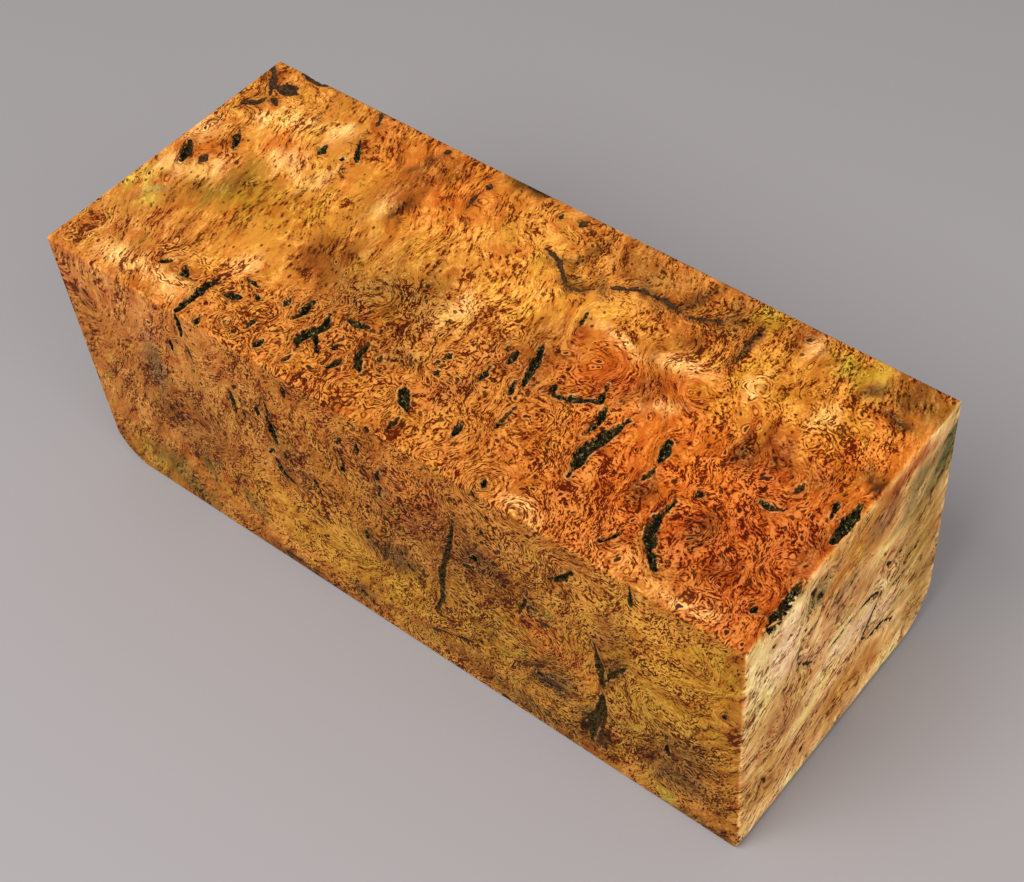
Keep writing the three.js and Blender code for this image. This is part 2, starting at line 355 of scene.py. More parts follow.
TOP_STAINS = (
    # Broad grounds first, then what lies on them.
    Stain(Hue.HONEY, (12.0, 40.0), (17.0, 12.0), 0.55),
    Stain(Hue.HONEY, (52.0, 38.0), (18.0, 16.0), 0.55),
    Stain(Hue.ORANGE, (41.0, 43.0), (11.0, 9.0), 0.6),
    Stain(Hue.TAN, (8.0, 8.0), (12.0, 9.0), 0.6),
    Stain(Hue.HONEY, (26.0, 20.0), (11.0, 11.0), 0.6),
    Stain(Hue.HONEY, (28.0, 30.0), (9.0, 7.0), 0.5),
    Stain(Hue.RUST, (114.0, 12.0), (22.0, 21.0), 0.8),
    Stain(Hue.ORANGE, (100.0, 22.0), (14.0, 12.0), 0.6),
    Stain(Hue.ORANGE, (122.0, 32.0), (9.0, 8.0), 0.6),
    Stain(Hue.HONEY, (76.0, 34.0), (11.0, 6.0), 0.7),
    Stain(Hue.TAN, (63.0, 22.0), (7.0, 8.0), 0.4),
    Stain(Hue.HONEY, (66.0, 35.0), (6.0, 8.0), 0.6),
    Stain(Hue.GOLD, (104.0, 38.0), (9.0, 8.0), 0.35),
    Stain(Hue.HONEY, (116.0, 36.0), (8.0, 6.0), 0.4),
    Stain(Hue.TAN, (110.0, 3.0), (9.0, 4.0), 0.6),
    # Olive and brown patches.
    Stain(Hue.OLIVE, (14.8, 25.0), (3.2, 5.0), 0.8, 20),
    Stain(Hue.OLIVE_GOLD, (21.0, 25.0), (8.0, 6.0), 0.5),
    Stain(Hue.LIME, (2.6, 18.2), (4.2, 1.6), 0.5, -40),
    Stain(Hue.LIME, (6.6, 15.2), (3.0, 1.2), 0.4, -40),
    Stain(Hue.GREY_GREEN, (6.0, 16.9), (2.4, 0.6), 0.6, -45),
    Stain(Hue.OLIVE_BROWN, (50.0, 21.0), (10.0, 7.0), 0.45),
    Stain(Hue.BROWN, (38.6, 23.0), (4.4, 5.6), 0.35, -10),
    Stain(Hue.RED_BROWN, (36.5, 18.5), (3.5, 3.0), 0.4),
    Stain(Hue.BROWN, (38.6, 41.0), (2.6, 10.0), 0.35, 22),
    Stain(Hue.UMBER, (40.2, 36.0), (1.5, 3.4), 0.65, 18),
    Stain(Hue.UMBER, (36.6, 45.0), (0.9, 3.6), 0.6, 22),
    Stain(Hue.OLIVE_BROWN, (80.0, 47.0), (10.0, 3.6), 0.25),
    Stain(Hue.UMBER, (69.6, 44.0), (0.9, 6.0), 0.35, 4),
    Stain(Hue.UMBER, (80.0, 44.8), (1.0, 2.4), 0.35, 12),
    Stain(Hue.DARK, (88.0, 46.6), (0.8, 4.4), 0.45, 18),
    Stain(Hue.OLIVE_BROWN, (53.5, 50.6), (4.4, 1.4), 0.85),
    Stain(Hue.DARK, (54.0, 51.0), (2.6, 0.8), 0.7),
    Stain(Hue.RED_BROWN, (76.0, 24.0), (5.0, 6.0), 0.4),
    Stain(Hue.RUST, (85.0, 27.6), (5.6, 5.4), 0.85),
    Stain(Hue.ORANGE, (84.4, 28.8), (3.0, 2.6), 0.5),
    Stain(Hue.RED_BROWN, (92.0, 27.0), (3.0, 4.5), 0.5),
    Stain(Hue.BROWN, (94.0, 46.5), (2.8, 4.0), 0.6, 16),
    Stain(Hue.UMBER, (98.6, 43.0), (0.9, 5.0), 0.75, 8),
    Stain(Hue.OLIVE_GOLD, (99.5, 48.6), (3.4, 2.8), 0.9),
    Stain(Hue.LIME, (98.4, 49.6), (1.5, 1.2), 0.5),
    Stain(Hue.RED_BROWN, (105.5, 48.4), (3.6, 2.6), 0.7),
    Stain(Hue.OLIVE_GOLD, (114.0, 46.8), (4.6, 4.2), 0.9),
    Stain(Hue.LIME, (112.0, 46.0), (1.9, 2.4), 0.4),
    Stain(Hue.OLIVE_BROWN, (124.0, 47.4), (4.6, 3.8), 0.55),
    Stain(Hue.DARK, (122.6, 42.6), (2.8, 0.8), 0.75, 8),
    Stain(Hue.UMBER, (117.5, 45.6), (1.0, 2.6), 0.6, 30),
    Stain(Hue.UMBER, (126.4, 32.2), (2.2, 1.7), 0.85),
    Stain(Hue.RED_BROWN, (113.0, 28.0), (5.0, 2.6), 0.6),
    Stain(Hue.UMBER, (109.6, 26.6), (1.5, 2.2), 0.55, 20),
    Stain(Hue.RED_BROWN, (121.0, 28.6), (3.0, 2.4), 0.5),
    Stain(Hue.UMBER, (112.3, 13.0), (2.0, 2.4), 0.35),
    Stain(Hue.RED_BROWN, (118.6, 10.0), (3.4, 3.4), 0.3),
    Stain(Hue.UMBER, (103.6, 13.0), (1.6, 2.4), 0.45, 20),
    Stain(Hue.RED_BROWN, (126.0, 17.0), (1.6, 5.0), 0.5),
    Stain(Hue.UMBER, (60.0, 13.0), (3.4, 3.0), 0.35),
    Stain(Hue.RED_BROWN, (71.0, 11.0), (3.0, 3.0), 0.4),
    # The wavy dark boundary across the back right.
    Stain(Hue.UMBER, (66.6, 40.6), (3.6, 1.1), 0.3, -24),
    Stain(Hue.UMBER, (71.4, 38.2), (2.6, 1.2), 0.5, -24),
    Stain(Hue.UMBER, (75.0, 39.8), (2.8, 0.9), 0.35, 38),
    Stain(Hue.UMBER, (80.0, 42.8), (4.0, 1.1), 0.35, 16),
    Stain(Hue.BROWN, (87.0, 43.2), (4.4, 1.1), 0.4, -6),
    Stain(Hue.BROWN, (92.0, 38.6), (2.0, 1.6), 0.4),
    # Pale patches.
    Stain(Hue.PALE, (12.6, 41.0), (4.6, 2.0), 0.5, -20),
    Stain(Hue.CREAM, (18.8, 34.2), (3.4, 2.6), 0.8, 20),
    Stain(Hue.PALE, (20.6, 43.6), (2.2, 2.4), 0.65),
    Stain(Hue.CREAM, (25.4, 33.6), (1.5, 4.0), 0.6, 12),
    Stain(Hue.CREAM, (8.8, 38.0), (2.6, 2.0), 0.5),
    Stain(Hue.ORANGE, (14.6, 36.8), (3.4, 3.0), 0.5),
    Stain(Hue.CREAM, (4.6, 23.0), (4.4, 3.0), 0.65),
    Stain(Hue.CREAM, (9.4, 26.0), (1.7, 3.8), 0.6),
    Stain(Hue.CREAM, (2.2, 31.4), (2.8, 2.2), 0.5),
    Stain(Hue.ORANGE, (6.6, 28.4), (3.6, 2.6), 0.45),
    Stain(Hue.CREAM, (13.6, 3.0), (4.0, 2.4), 0.7),
    Stain(Hue.CREAM, (21.6, 4.0), (5.0, 1.6), 0.5),
    Stain(Hue.CREAM, (29.4, 13.6), (1.6, 2.6), 0.6, -20),
    Stain(Hue.CREAM, (37.4, 33.6), (1.2, 3.4), 0.4, 8),
    Stain(Hue.HONEY, (31.5, 36.0), (1.6, 5.0), 0.5, 14),
    Stain(Hue.CREAM, (61.6, 24.0), (2.4, 4.4), 0.3, 10),
    Stain(Hue.CREAM, (93.6, 34.4), (3.6, 1.7), 0.6),
    Stain(Hue.CREAM, (83.8, 33.2), (4.2, 0.7), 0.6, 8),
    Stain(Hue.CREAM, (104.4, 37.0), (1.5, 1.8), 0.6),
    Stain(Hue.PALE, (114.8, 36.6), (2.3, 1.8), 0.35),
    Stain(Hue.CREAM, (106.6, 47.6), (0.9, 2.2), 0.5, 10),
    Stain(Hue.CREAM, (90.8, 1.4), (4.0, 1.4), 0.55),
    Stain(Hue.CREAM, (118.0, 1.6), (4.0, 1.5), 0.5),
    Stain(Hue.CREAM, (96.0, 26.0), (3.2, 1.4), 0.4, -30),
)

TOP_PATCHES = (
    Patch((45.0, 6.0), (20.0, 9.0), 1.0, 0.75),
    Patch((76.0, 12.0), (18.0, 12.0), 1.0, 0.75),
    Patch((52.0, 20.0), (10.0, 7.0), 0.85, 0.45),
    Patch((86.0, 18.0), (9.0, 9.0), 0.9, 0.65),
    Patch((115.0, 20.0), (15.0, 10.0), 0.95, 0.6),
    Patch((118.0, 6.0), (12.0, 8.0), 1.0, 0.5),
    Patch((100.0, 8.0), (10.0, 8.0), 0.9, 0.2),
    Patch((64.0, 22.0), (7.0, 7.0), 0.9, 0.4),
    Patch((98.0, 33.0), (12.0, 6.0), 0.6, 0.1),
    Patch((118.0, 36.0), (9.0, 7.0), 0.8, 0.2),
    Patch((5.0, 5.0), (6.0, 5.0), 0.6, 0.25),
    Patch((8.0, 45.0), (10.0, 7.0), 0.4, 0.0),
    Patch((21.0, 21.0), (15.0, 8.0), 0.02, 0.0),
    Patch((88.0, 42.0), (40.0, 9.0), 0.5, 0.1),
)

FRONT_POCKETS = (
    Pocket(1.2, ((27.8, 50.2), (27.9, 47.0), (27.8, 44.5))),
    Pocket(0.45, ((27.8, 44.5), (28.6, 42.0), (29.2, 39.0)), BROWN),
    Pocket(0.8, ((24.6, 42.5), (24.3, 39.7))),
    Pocket(0.8, ((5.2, 41.9), (5.9, 41.1)), BROWN),
    Pocket(0.8, ((3.7, 38.3), (4.3, 37.7)), BROWN),
    Pocket(1.0, ((35.8, 38.5), (36.3, 34.0))),
    Pocket(0.5, ((37.9, 41.0), (36.9, 39.4))),
    Pocket(0.7, ((37.8, 37.8), (37.8, 37.0))),
    Pocket(0.8, ((37.8, 35.3), (37.8, 34.3))),
    Pocket(0.7, ((41.5, 38.5), (41.3, 36.5))),
    Pocket(0.4, ((43.5, 41.5), (44.0, 39.0), (43.3, 37.5))),
    Pocket(1.4, ((43.3, 37.5), (43.8, 35.0), (44.0, 32.0))),
    Pocket(0.7, ((45.5, 31.0), (45.3, 29.0))),
    Pocket(0.6, ((43.0, 30.0), (41.8, 28.5))),
    Pocket(1.2, ((43.0, 28.0), (44.0, 25.3), (46.3, 24.0))),
    Pocket(0.9, ((51.0, 29.0), (51.3, 27.4), (51.8, 26.0))),
    Pocket(0.8, ((48.5, 28.3), (48.9, 27.7))),
    Pocket(0.45, ((48.0, 24.3), (50.0, 25.7))),
    Pocket(0.6, ((59.5, 43.5), (58.3, 42.0), (58.0, 40.0), (58.7, 38.0), (58.2, 36.3))),
    Pocket(0.9, ((57.9, 36.3), (58.3, 35.7))),
    Pocket(0.7, ((62.5, 45.0), (62.0, 42.0))),
    Pocket(0.5, ((48.7, 47.5), (48.7, 45.5))),
    Pocket(2.0, ((56.0, 4.6), (57.2, 4.4)), OLIVE),
    Pocket(0.5, ((60.5, 24.0), (60.4, 21.6))),
    Pocket(0.7, ((18.7, 24.0), (19.2, 23.4)), BROWN),
    Pocket(0.7, ((21.8, 14.3), (22.1, 13.7)), BROWN),
    Pocket(0.9, ((66.5, 43.0), (65.5, 40.0), (65.5, 37.0), (64.5, 34.0))),
    Pocket(1.3, ((79.5, 40.0), (78.0, 33.0), (75.5, 25.0), (74.5, 18.0), (73.0, 14.0)), OLIVE),
    Pocket(0.7, ((85.0, 42.0), (84.8, 39.0))),
    Pocket(1.2, ((82.8, 34.5), (82.5, 32.5))),
    Pocket(0.6, ((80.5, 30.5), (83.0, 32.0))),
    Pocket(1.0, ((86.2, 35.8), (86.8, 35.2))),
    Pocket(0.9, ((100.5, 45.0), (99.0, 42.5), (97.5, 41.0), (96.0, 40.0))),
    Pocket(0.5, ((92.0, 34.0), (91.5, 31.0), (90.0, 27.0)), OLIVE),
    Pocket(0.4, ((92.0, 27.5), (94.0, 28.1), (96.0, 28.5)), BROWN),
    Pocket(1.2, ((103.5, 31.0), (104.3, 26.0), (104.5, 20.0)), OLIVE),
    Pocket(2.2, ((104.5, 20.0), (104.0, 14.0), (102.1, 10.0), (101.8, 4.5)), OLIVE),
    Pocket(0.8, ((105.0, 23.0), (107.0, 27.0), (109.0, 30.0)), OLIVE),
    Pocket(0.9, ((92.3, 13.6), (93.1, 14.4))),
    Pocket(0.9, ((94.5, 15.0), (95.3, 15.4))),
    Pocket(0.8, ((96.4, 13.4), (96.8, 13.0))),
    Pocket(0.9, ((115.2, 9.4), (115.9, 8.6))),
    Pocket(0.6, ((67.2, 23.9), (67.6, 23.1))),
    Pocket(0.7, ((68.3, 21.6), (68.8, 20.6))),
    Pocket(0.5, ((124.8, 32.6), (125.2, 33.6))),
    Pocket(0.5, ((125.8, 35.2), (126.2, 36.6))),
    Pocket(0.4, ((71.0, 7.0), (75.0, 9.0), (80.0, 11.0), (83.0, 14.0), (85.0, 19.0)), BROWN),
    Pocket(0.6, ((115.5, 16.6), (115.6, 14.0))),
    Pocket(0.6, ((98.4, 3.6), (99.2, 1.0)), OLIVE),
    Pocket(0.8, ((83.6, 0.8), (86.2, 0.5))),
    Pocket(0.5, ((110.0, 50.2), (110.1, 45.6))),
    Pocket(0.8, ((83.8, 50.0), (84.2, 48.6))),
    Pocket(0.9, ((65.2, 50.2), (65.5, 48.8))),
    Pocket(0.4, ((36.0, 3.0), (40.0, 2.0), (44.0, 1.2), (47.0, 2.2)), BROWN),
)

FRONT_EYES = (
    Eye((94.6, 23.0), (4.8, 5.2), 1.8, 0.3),
    Eye((112.6, 25.4), (4.6, 5.4), 1.8, 0.3),
    Eye((115.4, 3.2), (2.4, 1.8), 1.6),
    Eye((99.6, 44.4), (4.2, 3.4), 2.0, 0.5),
    Eye((65.8, 36.4), (1.6, 2.4), 1.6, 0.4),
    Eye((92.0, 7.4), (4.2, 3.0), 1.6, 0.3),
    Eye((121.4, 40.4), (3.0, 3.6), 1.6, 0.2),
    Eye((44.0, 4.6), (4.6, 2.2), 1.4, 0.5),
    Eye((57.0, 17.0), (5.6, 3.6), 1.6, 0.2),
    Eye((71.0, 25.6), (2.0, 3.6), 1.6, 0.6),
    Eye((6.0, 38.8), (3.2, 4.0), 1.4, 0.2),
    Eye((79.0, 45.0), (2.6, 2.4), 1.6, 0.4),
    Eye((86.0, 36.0), (2.2, 2.2), 1.6, 0.5),
    Eye((118.0, 14.0), (3.4, 3.0), 1.8, 0.1),
    Eye((28.0, 24.0), (5.0, 4.0), 1.4, 0.1),
)

FRONT_STAINS_AND_SHADE = (
    Stain(Hue.SALMON, (12.0, 44.0), (20.0, 8.0), 0.7),
    Stain(Hue.TAN, (8.0, 22.0), (11.0, 12.0), 0.6),
    Stain(Hue.TAN, (34.0, 34.0), (13.0, 9.0), 0.5),
    Stain(Hue.GOLD, (50.0, 13.0), (19.0, 8.0), 0.7),
    Stain(Hue.GOLD, (67.0, 13.0), (9.0, 6.0), 0.6),
    Stain(Hue.OLIVE_GOLD, (92.0, 20.0), (46.0, 26.0), 0.45),
    Stain(Hue.RED_BROWN, (78.0, 34.0), (13.0, 10.0), 0.45),
    Stain(Hue.TAN, (106.0, 43.0), (12.0, 7.0), 0.4),
    Stain(Hue.ORANGE, (94.6, 23.0), (5.6, 5.0), 0.45),
    Stain(Hue.GREY_BROWN, (17.6, 33.0), (2.8, 7.4), 0.75, 10),
    Stain(Hue.BROWN, (27.0, 25.0), (9.0, 6.0), 0.3),
    Stain(Hue.BROWN, (20.0, 20.0), (5.0, 4.0), 0.3),
    Stain(Hue.OLIVE_GOLD, (8.0, 4.0), (13.0, 5.0), 0.75),
    Stain(Hue.OLIVE, (24.8, 15.0), (3.4, 2.6), 0.7, 30),
    Stain(Hue.OLIVE, (18.0, 6.0), (8.0, 3.6), 0.6, 10),
    Stain(Hue.OLIVE, (33.6, 11.0), (1.6, 4.6), 0.45, -20),
    Stain(Hue.HONEY, (42.0, 5.0), (5.6, 1.7), 0.65),
    Stain(Hue.OLIVE_BROWN, (42.0, 0.9), (9.0, 1.4), 0.7),
    Stain(Hue.OLIVE_GOLD, (84.0, 16.0), (7.0, 5.0), 0.5),
    Stain(Hue.BROWN, (66.0, 22.0), (5.0, 3.6), 0.6),
    Stain(Hue.TAN, (70.8, 26.0), (2.2, 3.0), 0.4),
    Stain(Hue.OLIVE, (93.6, 30.6), (3.0, 1.1), 0.85, -6),
    Stain(Hue.BROWN, (93.0, 15.6), (6.0, 4.0), 0.4),
    Stain(Hue.UMBER, (95.0, 13.6), (3.0, 1.7), 0.5),
    Stain(Hue.DARK, (103.0, 9.0), (2.4, 4.6), 0.75, 12),
    Stain(Hue.UMBER, (106.6, 27.0), (1.2, 5.0), 0.5, 28),
    # Painted shade: these two brown patches darken the right part of the front, where the side lamp falls
    # stronger.
    Stain(Hue.BROWN, (117.0, 12.0), (8.0, 6.0), 0.35),
    Stain(Hue.OLIVE_BROWN, (119.0, 17.6), (4.0, 3.0), 0.45),
    Stain(Hue.OLIVE_GOLD, (111.0, 14.6), (2.2, 2.6), 0.6),
    Stain(Hue.LIME, (115.4, 3.2), (2.0, 1.5), 0.75),
    Stain(Hue.OLIVE_GOLD, (119.0, 26.0), (9.0, 8.0), 0.45),
    Stain(Hue.OLIVE_GOLD, (124.0, 42.0), (5.0, 8.0), 0.6),
    Stain(Hue.OLIVE_BROWN, (57.0, 4.0), (3.0, 2.6), 0.6),
    Stain(Hue.BROWN, (74.0, 5.6), (8.0, 3.0), 0.3),
    Stain(Hue.OLIVE_BROWN, (90.0, 3.0), (10.0, 2.8), 0.55),
    Stain(Hue.OLIVE_BROWN, (122.0, 0.9), (8.0, 1.5), 0.65),
    Stain(Hue.GOLD, (114.0, 38.0), (12.0, 11.0), 0.5),
    Stain(Hue.ORANGE, (72.0, 42.0), (8.0, 5.0), 0.35),
    Stain(Hue.BROWN, (106.0, 34.0), (3.0, 8.0), 0.35, 10),
    Stain(Hue.UMBER, (94.0, 14.0), (4.4, 2.4), 0.45),
    Stain(Hue.UMBER, (66.0, 22.5), (4.0, 2.8), 0.4),
    Stain(Hue.UMBER, (117.0, 9.5), (5.0, 2.8), 0.4),
    Stain(Hue.UMBER, (84.0, 33.0), (4.0, 3.4), 0.4),
    Stain(Hue.BROWN, (46.0, 30.0), (3.4, 6.0), 0.3),
    Stain(Hue.UMBER, (64.5, 38.0), (2.6, 4.0), 0.3),
)

FRONT_PATCHES = (
    Patch((74.0, 25.0), (66.0, 36.0), 0.7, 0.35),
    Patch((78.0, 34.0), (18.0, 13.0), 1.0, 0.75),
    Patch((28.0, 24.0), (14.0, 10.0), 0.5, 0.4),
    Patch((98.0, 20.0), (14.0, 12.0), 0.85, 0.25),
    Patch((116.0, 14.0), (11.0, 10.0), 0.9, 0.5),
    Patch((92.0, 8.0), (12.0, 8.0), 0.8, 0.4),
    Patch((112.0, 38.0), (14.0, 12.0), 0.75, 0.2),
    Patch((48.0, 38.0), (12.0, 12.0), 0.6, 0.35),
    Patch((58.0, 10.0), (12.0, 8.0), 0.5, 0.2),
)

RIGHT_POCKETS = (
    Pocket(1.6, ((4.2, 50.0), (5.8, 48.9), (7.4, 48.0))),
    Pocket(1.8, ((7.0, 49.2), (9.0, 49.2), (11.0, 50.2))),
    Pocket(1.3, ((14.8, 46.3), (16.0, 45.0)), OLIVE),
    Pocket(1.4, ((16.2, 44.0), (17.6, 42.6)), OLIVE),
    Pocket(0.8, ((17.6, 46.0), (18.6, 46.4)), OLIVE),
    Pocket(0.7, ((6.1, 44.4), (7.0, 44.2)), BROWN),
    Pocket(0.45, ((14.0, 39.0), (12.6, 35.0), (12.5, 33.0), (14.0, 31.0), (17.0, 28.0)), OLIVE),
    Pocket(0.6, ((21.0, 26.4), (23.5, 26.9), (26.5, 27.3)), BROWN),
    Pocket(0.6, ((29.0, 27.0), (31.6, 26.8), (34.4, 24.8)), BROWN),
    Pocket(0.5, ((34.4, 24.0), (32.4, 21.6), (30.0, 18.0)), OLIVE),
    Pocket(0.6, ((30.0, 18.0), (32.0, 16.0), (36.0, 15.5), (39.0, 13.0)), BROWN),
    Pocket(0.6, ((41.0, 25.3), (42.0, 25.7), (43.0, 25.9))),
    Pocket(0.6, ((37.5, 22.6), (39.0, 22.4), (40.5, 22.8), (42.0, 22.2))),
    Pocket(0.6, ((38.2, 13.3), (38.8, 12.7)), BROWN),
    Pocket(0.5, ((40.0, 10.3), (40.2, 9.5)), BROWN),
    Pocket(0.7, ((20.2, 7.3), (20.8, 6.7)), BROWN),
    Pocket(0.6, ((15.2, 7.7), (15.7, 7.2)), BROWN),
    Pocket(0.4, ((16.9, 4.6), (17.3, 2.2)), BROWN),
    Pocket(0.6, ((35.0, 30.6), (36.0, 29.6)), BROWN),
    Pocket(0.6, ((38.0, 30.0), (39.0, 29.3)), BROWN),
    Pocket(0.4, ((5.2, 13.2), (6.0, 11.0)), BROWN),
)

RIGHT_EYES = (
    Eye((9.0, 22.0), (4.0, 5.0), 1.2, 0.0),
    Eye((16.5, 44.5), (2.4, 3.0), 1.4, 0.2),
    Eye((38.0, 23.6), (4.4, 3.6), 1.2, 0.0),
)

RIGHT_STAINS = (
    Stain(Hue.SAPWOOD, (20.0, 22.0), (34.0, 30.0), 0.9),
    Stain(Hue.HONEY, (29.0, 44.0), (12.0, 7.0), 0.9),
    Stain(Hue.TAN, (10.0, 26.0), (8.0, 7.0), 0.6),
    Stain(Hue.TAN, (27.0, 34.0), (9.0, 4.0), 0.5, 20),
    Stain(Hue.PINK_CREAM, (10.0, 40.5), (3.4, 7.0), 0.85, 8),
    Stain(Hue.PINK_CREAM, (26.6, 22.6), (7.0, 3.8), 0.75, 20),
    Stain(Hue.PINK_CREAM, (35.0, 19.6), (3.4, 3.0), 0.5),
    Stain(Hue.PLUM_BROWN, (34.0, 44.0), (3.6, 2.6), 0.55, -30),
    Stain(Hue.PLUM_BROWN, (24.0, 36.6), (4.0, 2.0), 0.45, -20),
    Stain(Hue.PLUM_BROWN, (40.0, 17.0), (2.4, 3.2), 0.35),
    Stain(Hue.GREY_GREEN, (46.6, 40.0), (5.2, 4.4), 0.85, 20),
    Stain(Hue.GREEN, (49.0, 42.0), (3.6, 5.0), 0.95),
    Stain(Hue.GREY_GREEN, (40.4, 36.6), (4.0, 1.9), 0.45, 20),
    Stain(Hue.OLIVE_GOLD, (47.0, 12.0), (4.0, 9.0), 0.55),
    Stain(Hue.OLIVE_GOLD, (46.0, 28.0), (6.0, 12.0), 0.65),
    Stain(Hue.GOLD, (5.0, 13.0), (8.0, 9.0), 0.5),
    Stain(Hue.HONEY, (27.0, 10.0), (10.0, 7.0), 0.8),
    Stain(Hue.HONEY, (37.0, 8.0), (3.4, 3.0), 0.4),
    Stain(Hue.SALMON, (13.0, 8.0), (5.0, 3.6), 0.35),
    Stain(Hue.GREY_GREEN, (16.4, 45.0), (2.8, 2.6), 0.55),
    Stain(Hue.ORANGE, (37.0, 47.6), (7.0, 2.4), 0.8),
)

RIGHT_PATCHES = (
    Patch((25.0, 25.0), (60.0, 60.0), 0.15, 0.0),
    Patch((16.0, 44.0), (6.0, 4.0), 0.5, 0.2),
    Patch((10.0, 22.0), (9.0, 8.0), 0.3, 0.0),
)

# How many pockets each side that is turned away gets.
HIDDEN_SIDES = {Side.BACK: 34, Side.LEFT: 12, Side.UNDER: 34}


def scattered(side: Side, size: np.ndarray, clusters: int, rng: np.random.Generator) -> SideFigure:
    """The figure of a side nobody has described, in the manner of the others.

    Args:
        side: the side to cover.
        size: the block's size.
        clusters: how many pockets it has.
        rng: the seeded source of chance.

    Returns:
        Its pockets, eyes, stains and patches.
    """
    extent = np.array([size[side.across[0]], size[side.across[1]]])
    run = along_fibres(side)
    pockets = []
    for index in range(clusters):
        middle = rng.uniform(0.05, 0.95, 2) * extent
        length = rng.uniform(0.6, 3.2) if index % 4 else rng.uniform(5.0, 9.0)
        width = rng.uniform(0.5, 1.1) if index % 4 else rng.uniform(1.1, 1.9)
        bend = rng.normal(0.0, 0.16, 3) * length
        side_step = np.array([-run[1], run[0]])
        steps = np.linspace(-0.5, 0.5, 3)
        route = tuple(tuple(middle + run * length * s + side_step * b) for s, b in zip(steps, bend))
        kinds = (Filling.BARK, Filling.BARK, Filling.OLIVE, Filling.BROWN)
        pockets.append(Pocket(float(width), route, kinds[index % len(kinds)]))
    eyes = tuple(
        Eye(tuple(rng.uniform(0.04, 0.96, 2) * extent), tuple(rng.uniform(1.2, 3.8, 2)),
            float(rng.uniform(1.2, 2.2)), float(rng.uniform(0.0, 0.9)))
        for _ in range(clusters)
    )
    hues = (Hue.HONEY, Hue.RUST, Hue.BROWN, Hue.OLIVE_GOLD, Hue.TAN, Hue.ORANGE,
            Hue.OLIVE_BROWN, Hue.RED_BROWN, Hue.CREAM, Hue.OLIVE, Hue.UMBER)
    stains = tuple(
        Stain(hues[k % len(hues)], tuple(rng.uniform(0.0, 1.0, 2) * extent),
              tuple(rng.uniform(2.0, 11.0, 2) * (0.45 if hues[k % len(hues)] is Hue.UMBER else 1.0)),
              float(rng.uniform(0.4, 0.8)), float(rng.uniform(-60, 60)))
        for k in range(clusters + 12)
    )
    patches = tuple(
        Patch(tuple(rng.uniform(0.0, 1.0, 2) * extent), tuple(rng.uniform(8.0, 18.0, 2)),
              float(rng.uniform(0.5, 1.0)), float(rng.uniform(0.1, 0.7)))
        for _ in range(max(3, clusters // 5))
    )
    ground = Hue.SAPWOOD if side is Side.LEFT else Hue.AMBER
    return SideFigure(ground, tuple(pockets), eyes, stains, patches)


def grain_normal() -> np.ndarray:
    """The direction across the sheets of fibre that the whole block is made of."""
    normal = np.array([1.0, 0.37, -0.69])
    return normal / np.linalg.norm(normal)


def along_fibres(side: Side) -> np.ndarray:
    """The direction in which the fibres run on a side.

    Args:
        side: the side.

    Returns:
        A unit vector in the side's own two axes.
    """
    normal = grain_normal()
    across = np.array([normal[side.across[0]], normal[side.across[1]]])
    across /= np.linalg.norm(across)
    return np.array([-across[1], across[0]])


class SmoothChance:
    """Smooth seeded noise in space, as a sum of waves. Its values lie mostly between -1 and 1."""

    def __init__(self, rng: np.random.Generator, wavelength: float, waves: int = 18) -> None:
        """Draws the waves.

        Args:
            rng: the seeded source of chance.
            wavelength: about how far apart its hills lie.
            waves: how many waves are added.
        """
        turns = rng.normal(size=(waves, 3))
        turns /= np.linalg.norm(turns, axis=1, keepdims=True)
        pitch = wavelength * rng.uniform(0.6, 1.6, (waves, 1))
        self.turns = turns * 2 * math.pi / pitch
        self.phases = rng.uniform(0, 2 * math.pi, waves)
        self.gain = math.sqrt(2 / waves)

    def at(self, points: np.ndarray) -> np.ndarray:
        """The noise at each point."""
        return self.gain * np.sin(points @ self.turns.T + self.phases).sum(axis=1)


def smoothstep(value: np.ndarray, low: float, high: float) -> np.ndarray:
    """Value eased from 0 at low to 1 at high."""
    share = np.clip((value - low) / (high - low), 0.0, 1.0)
    return share * share * (3 - 2 * share)


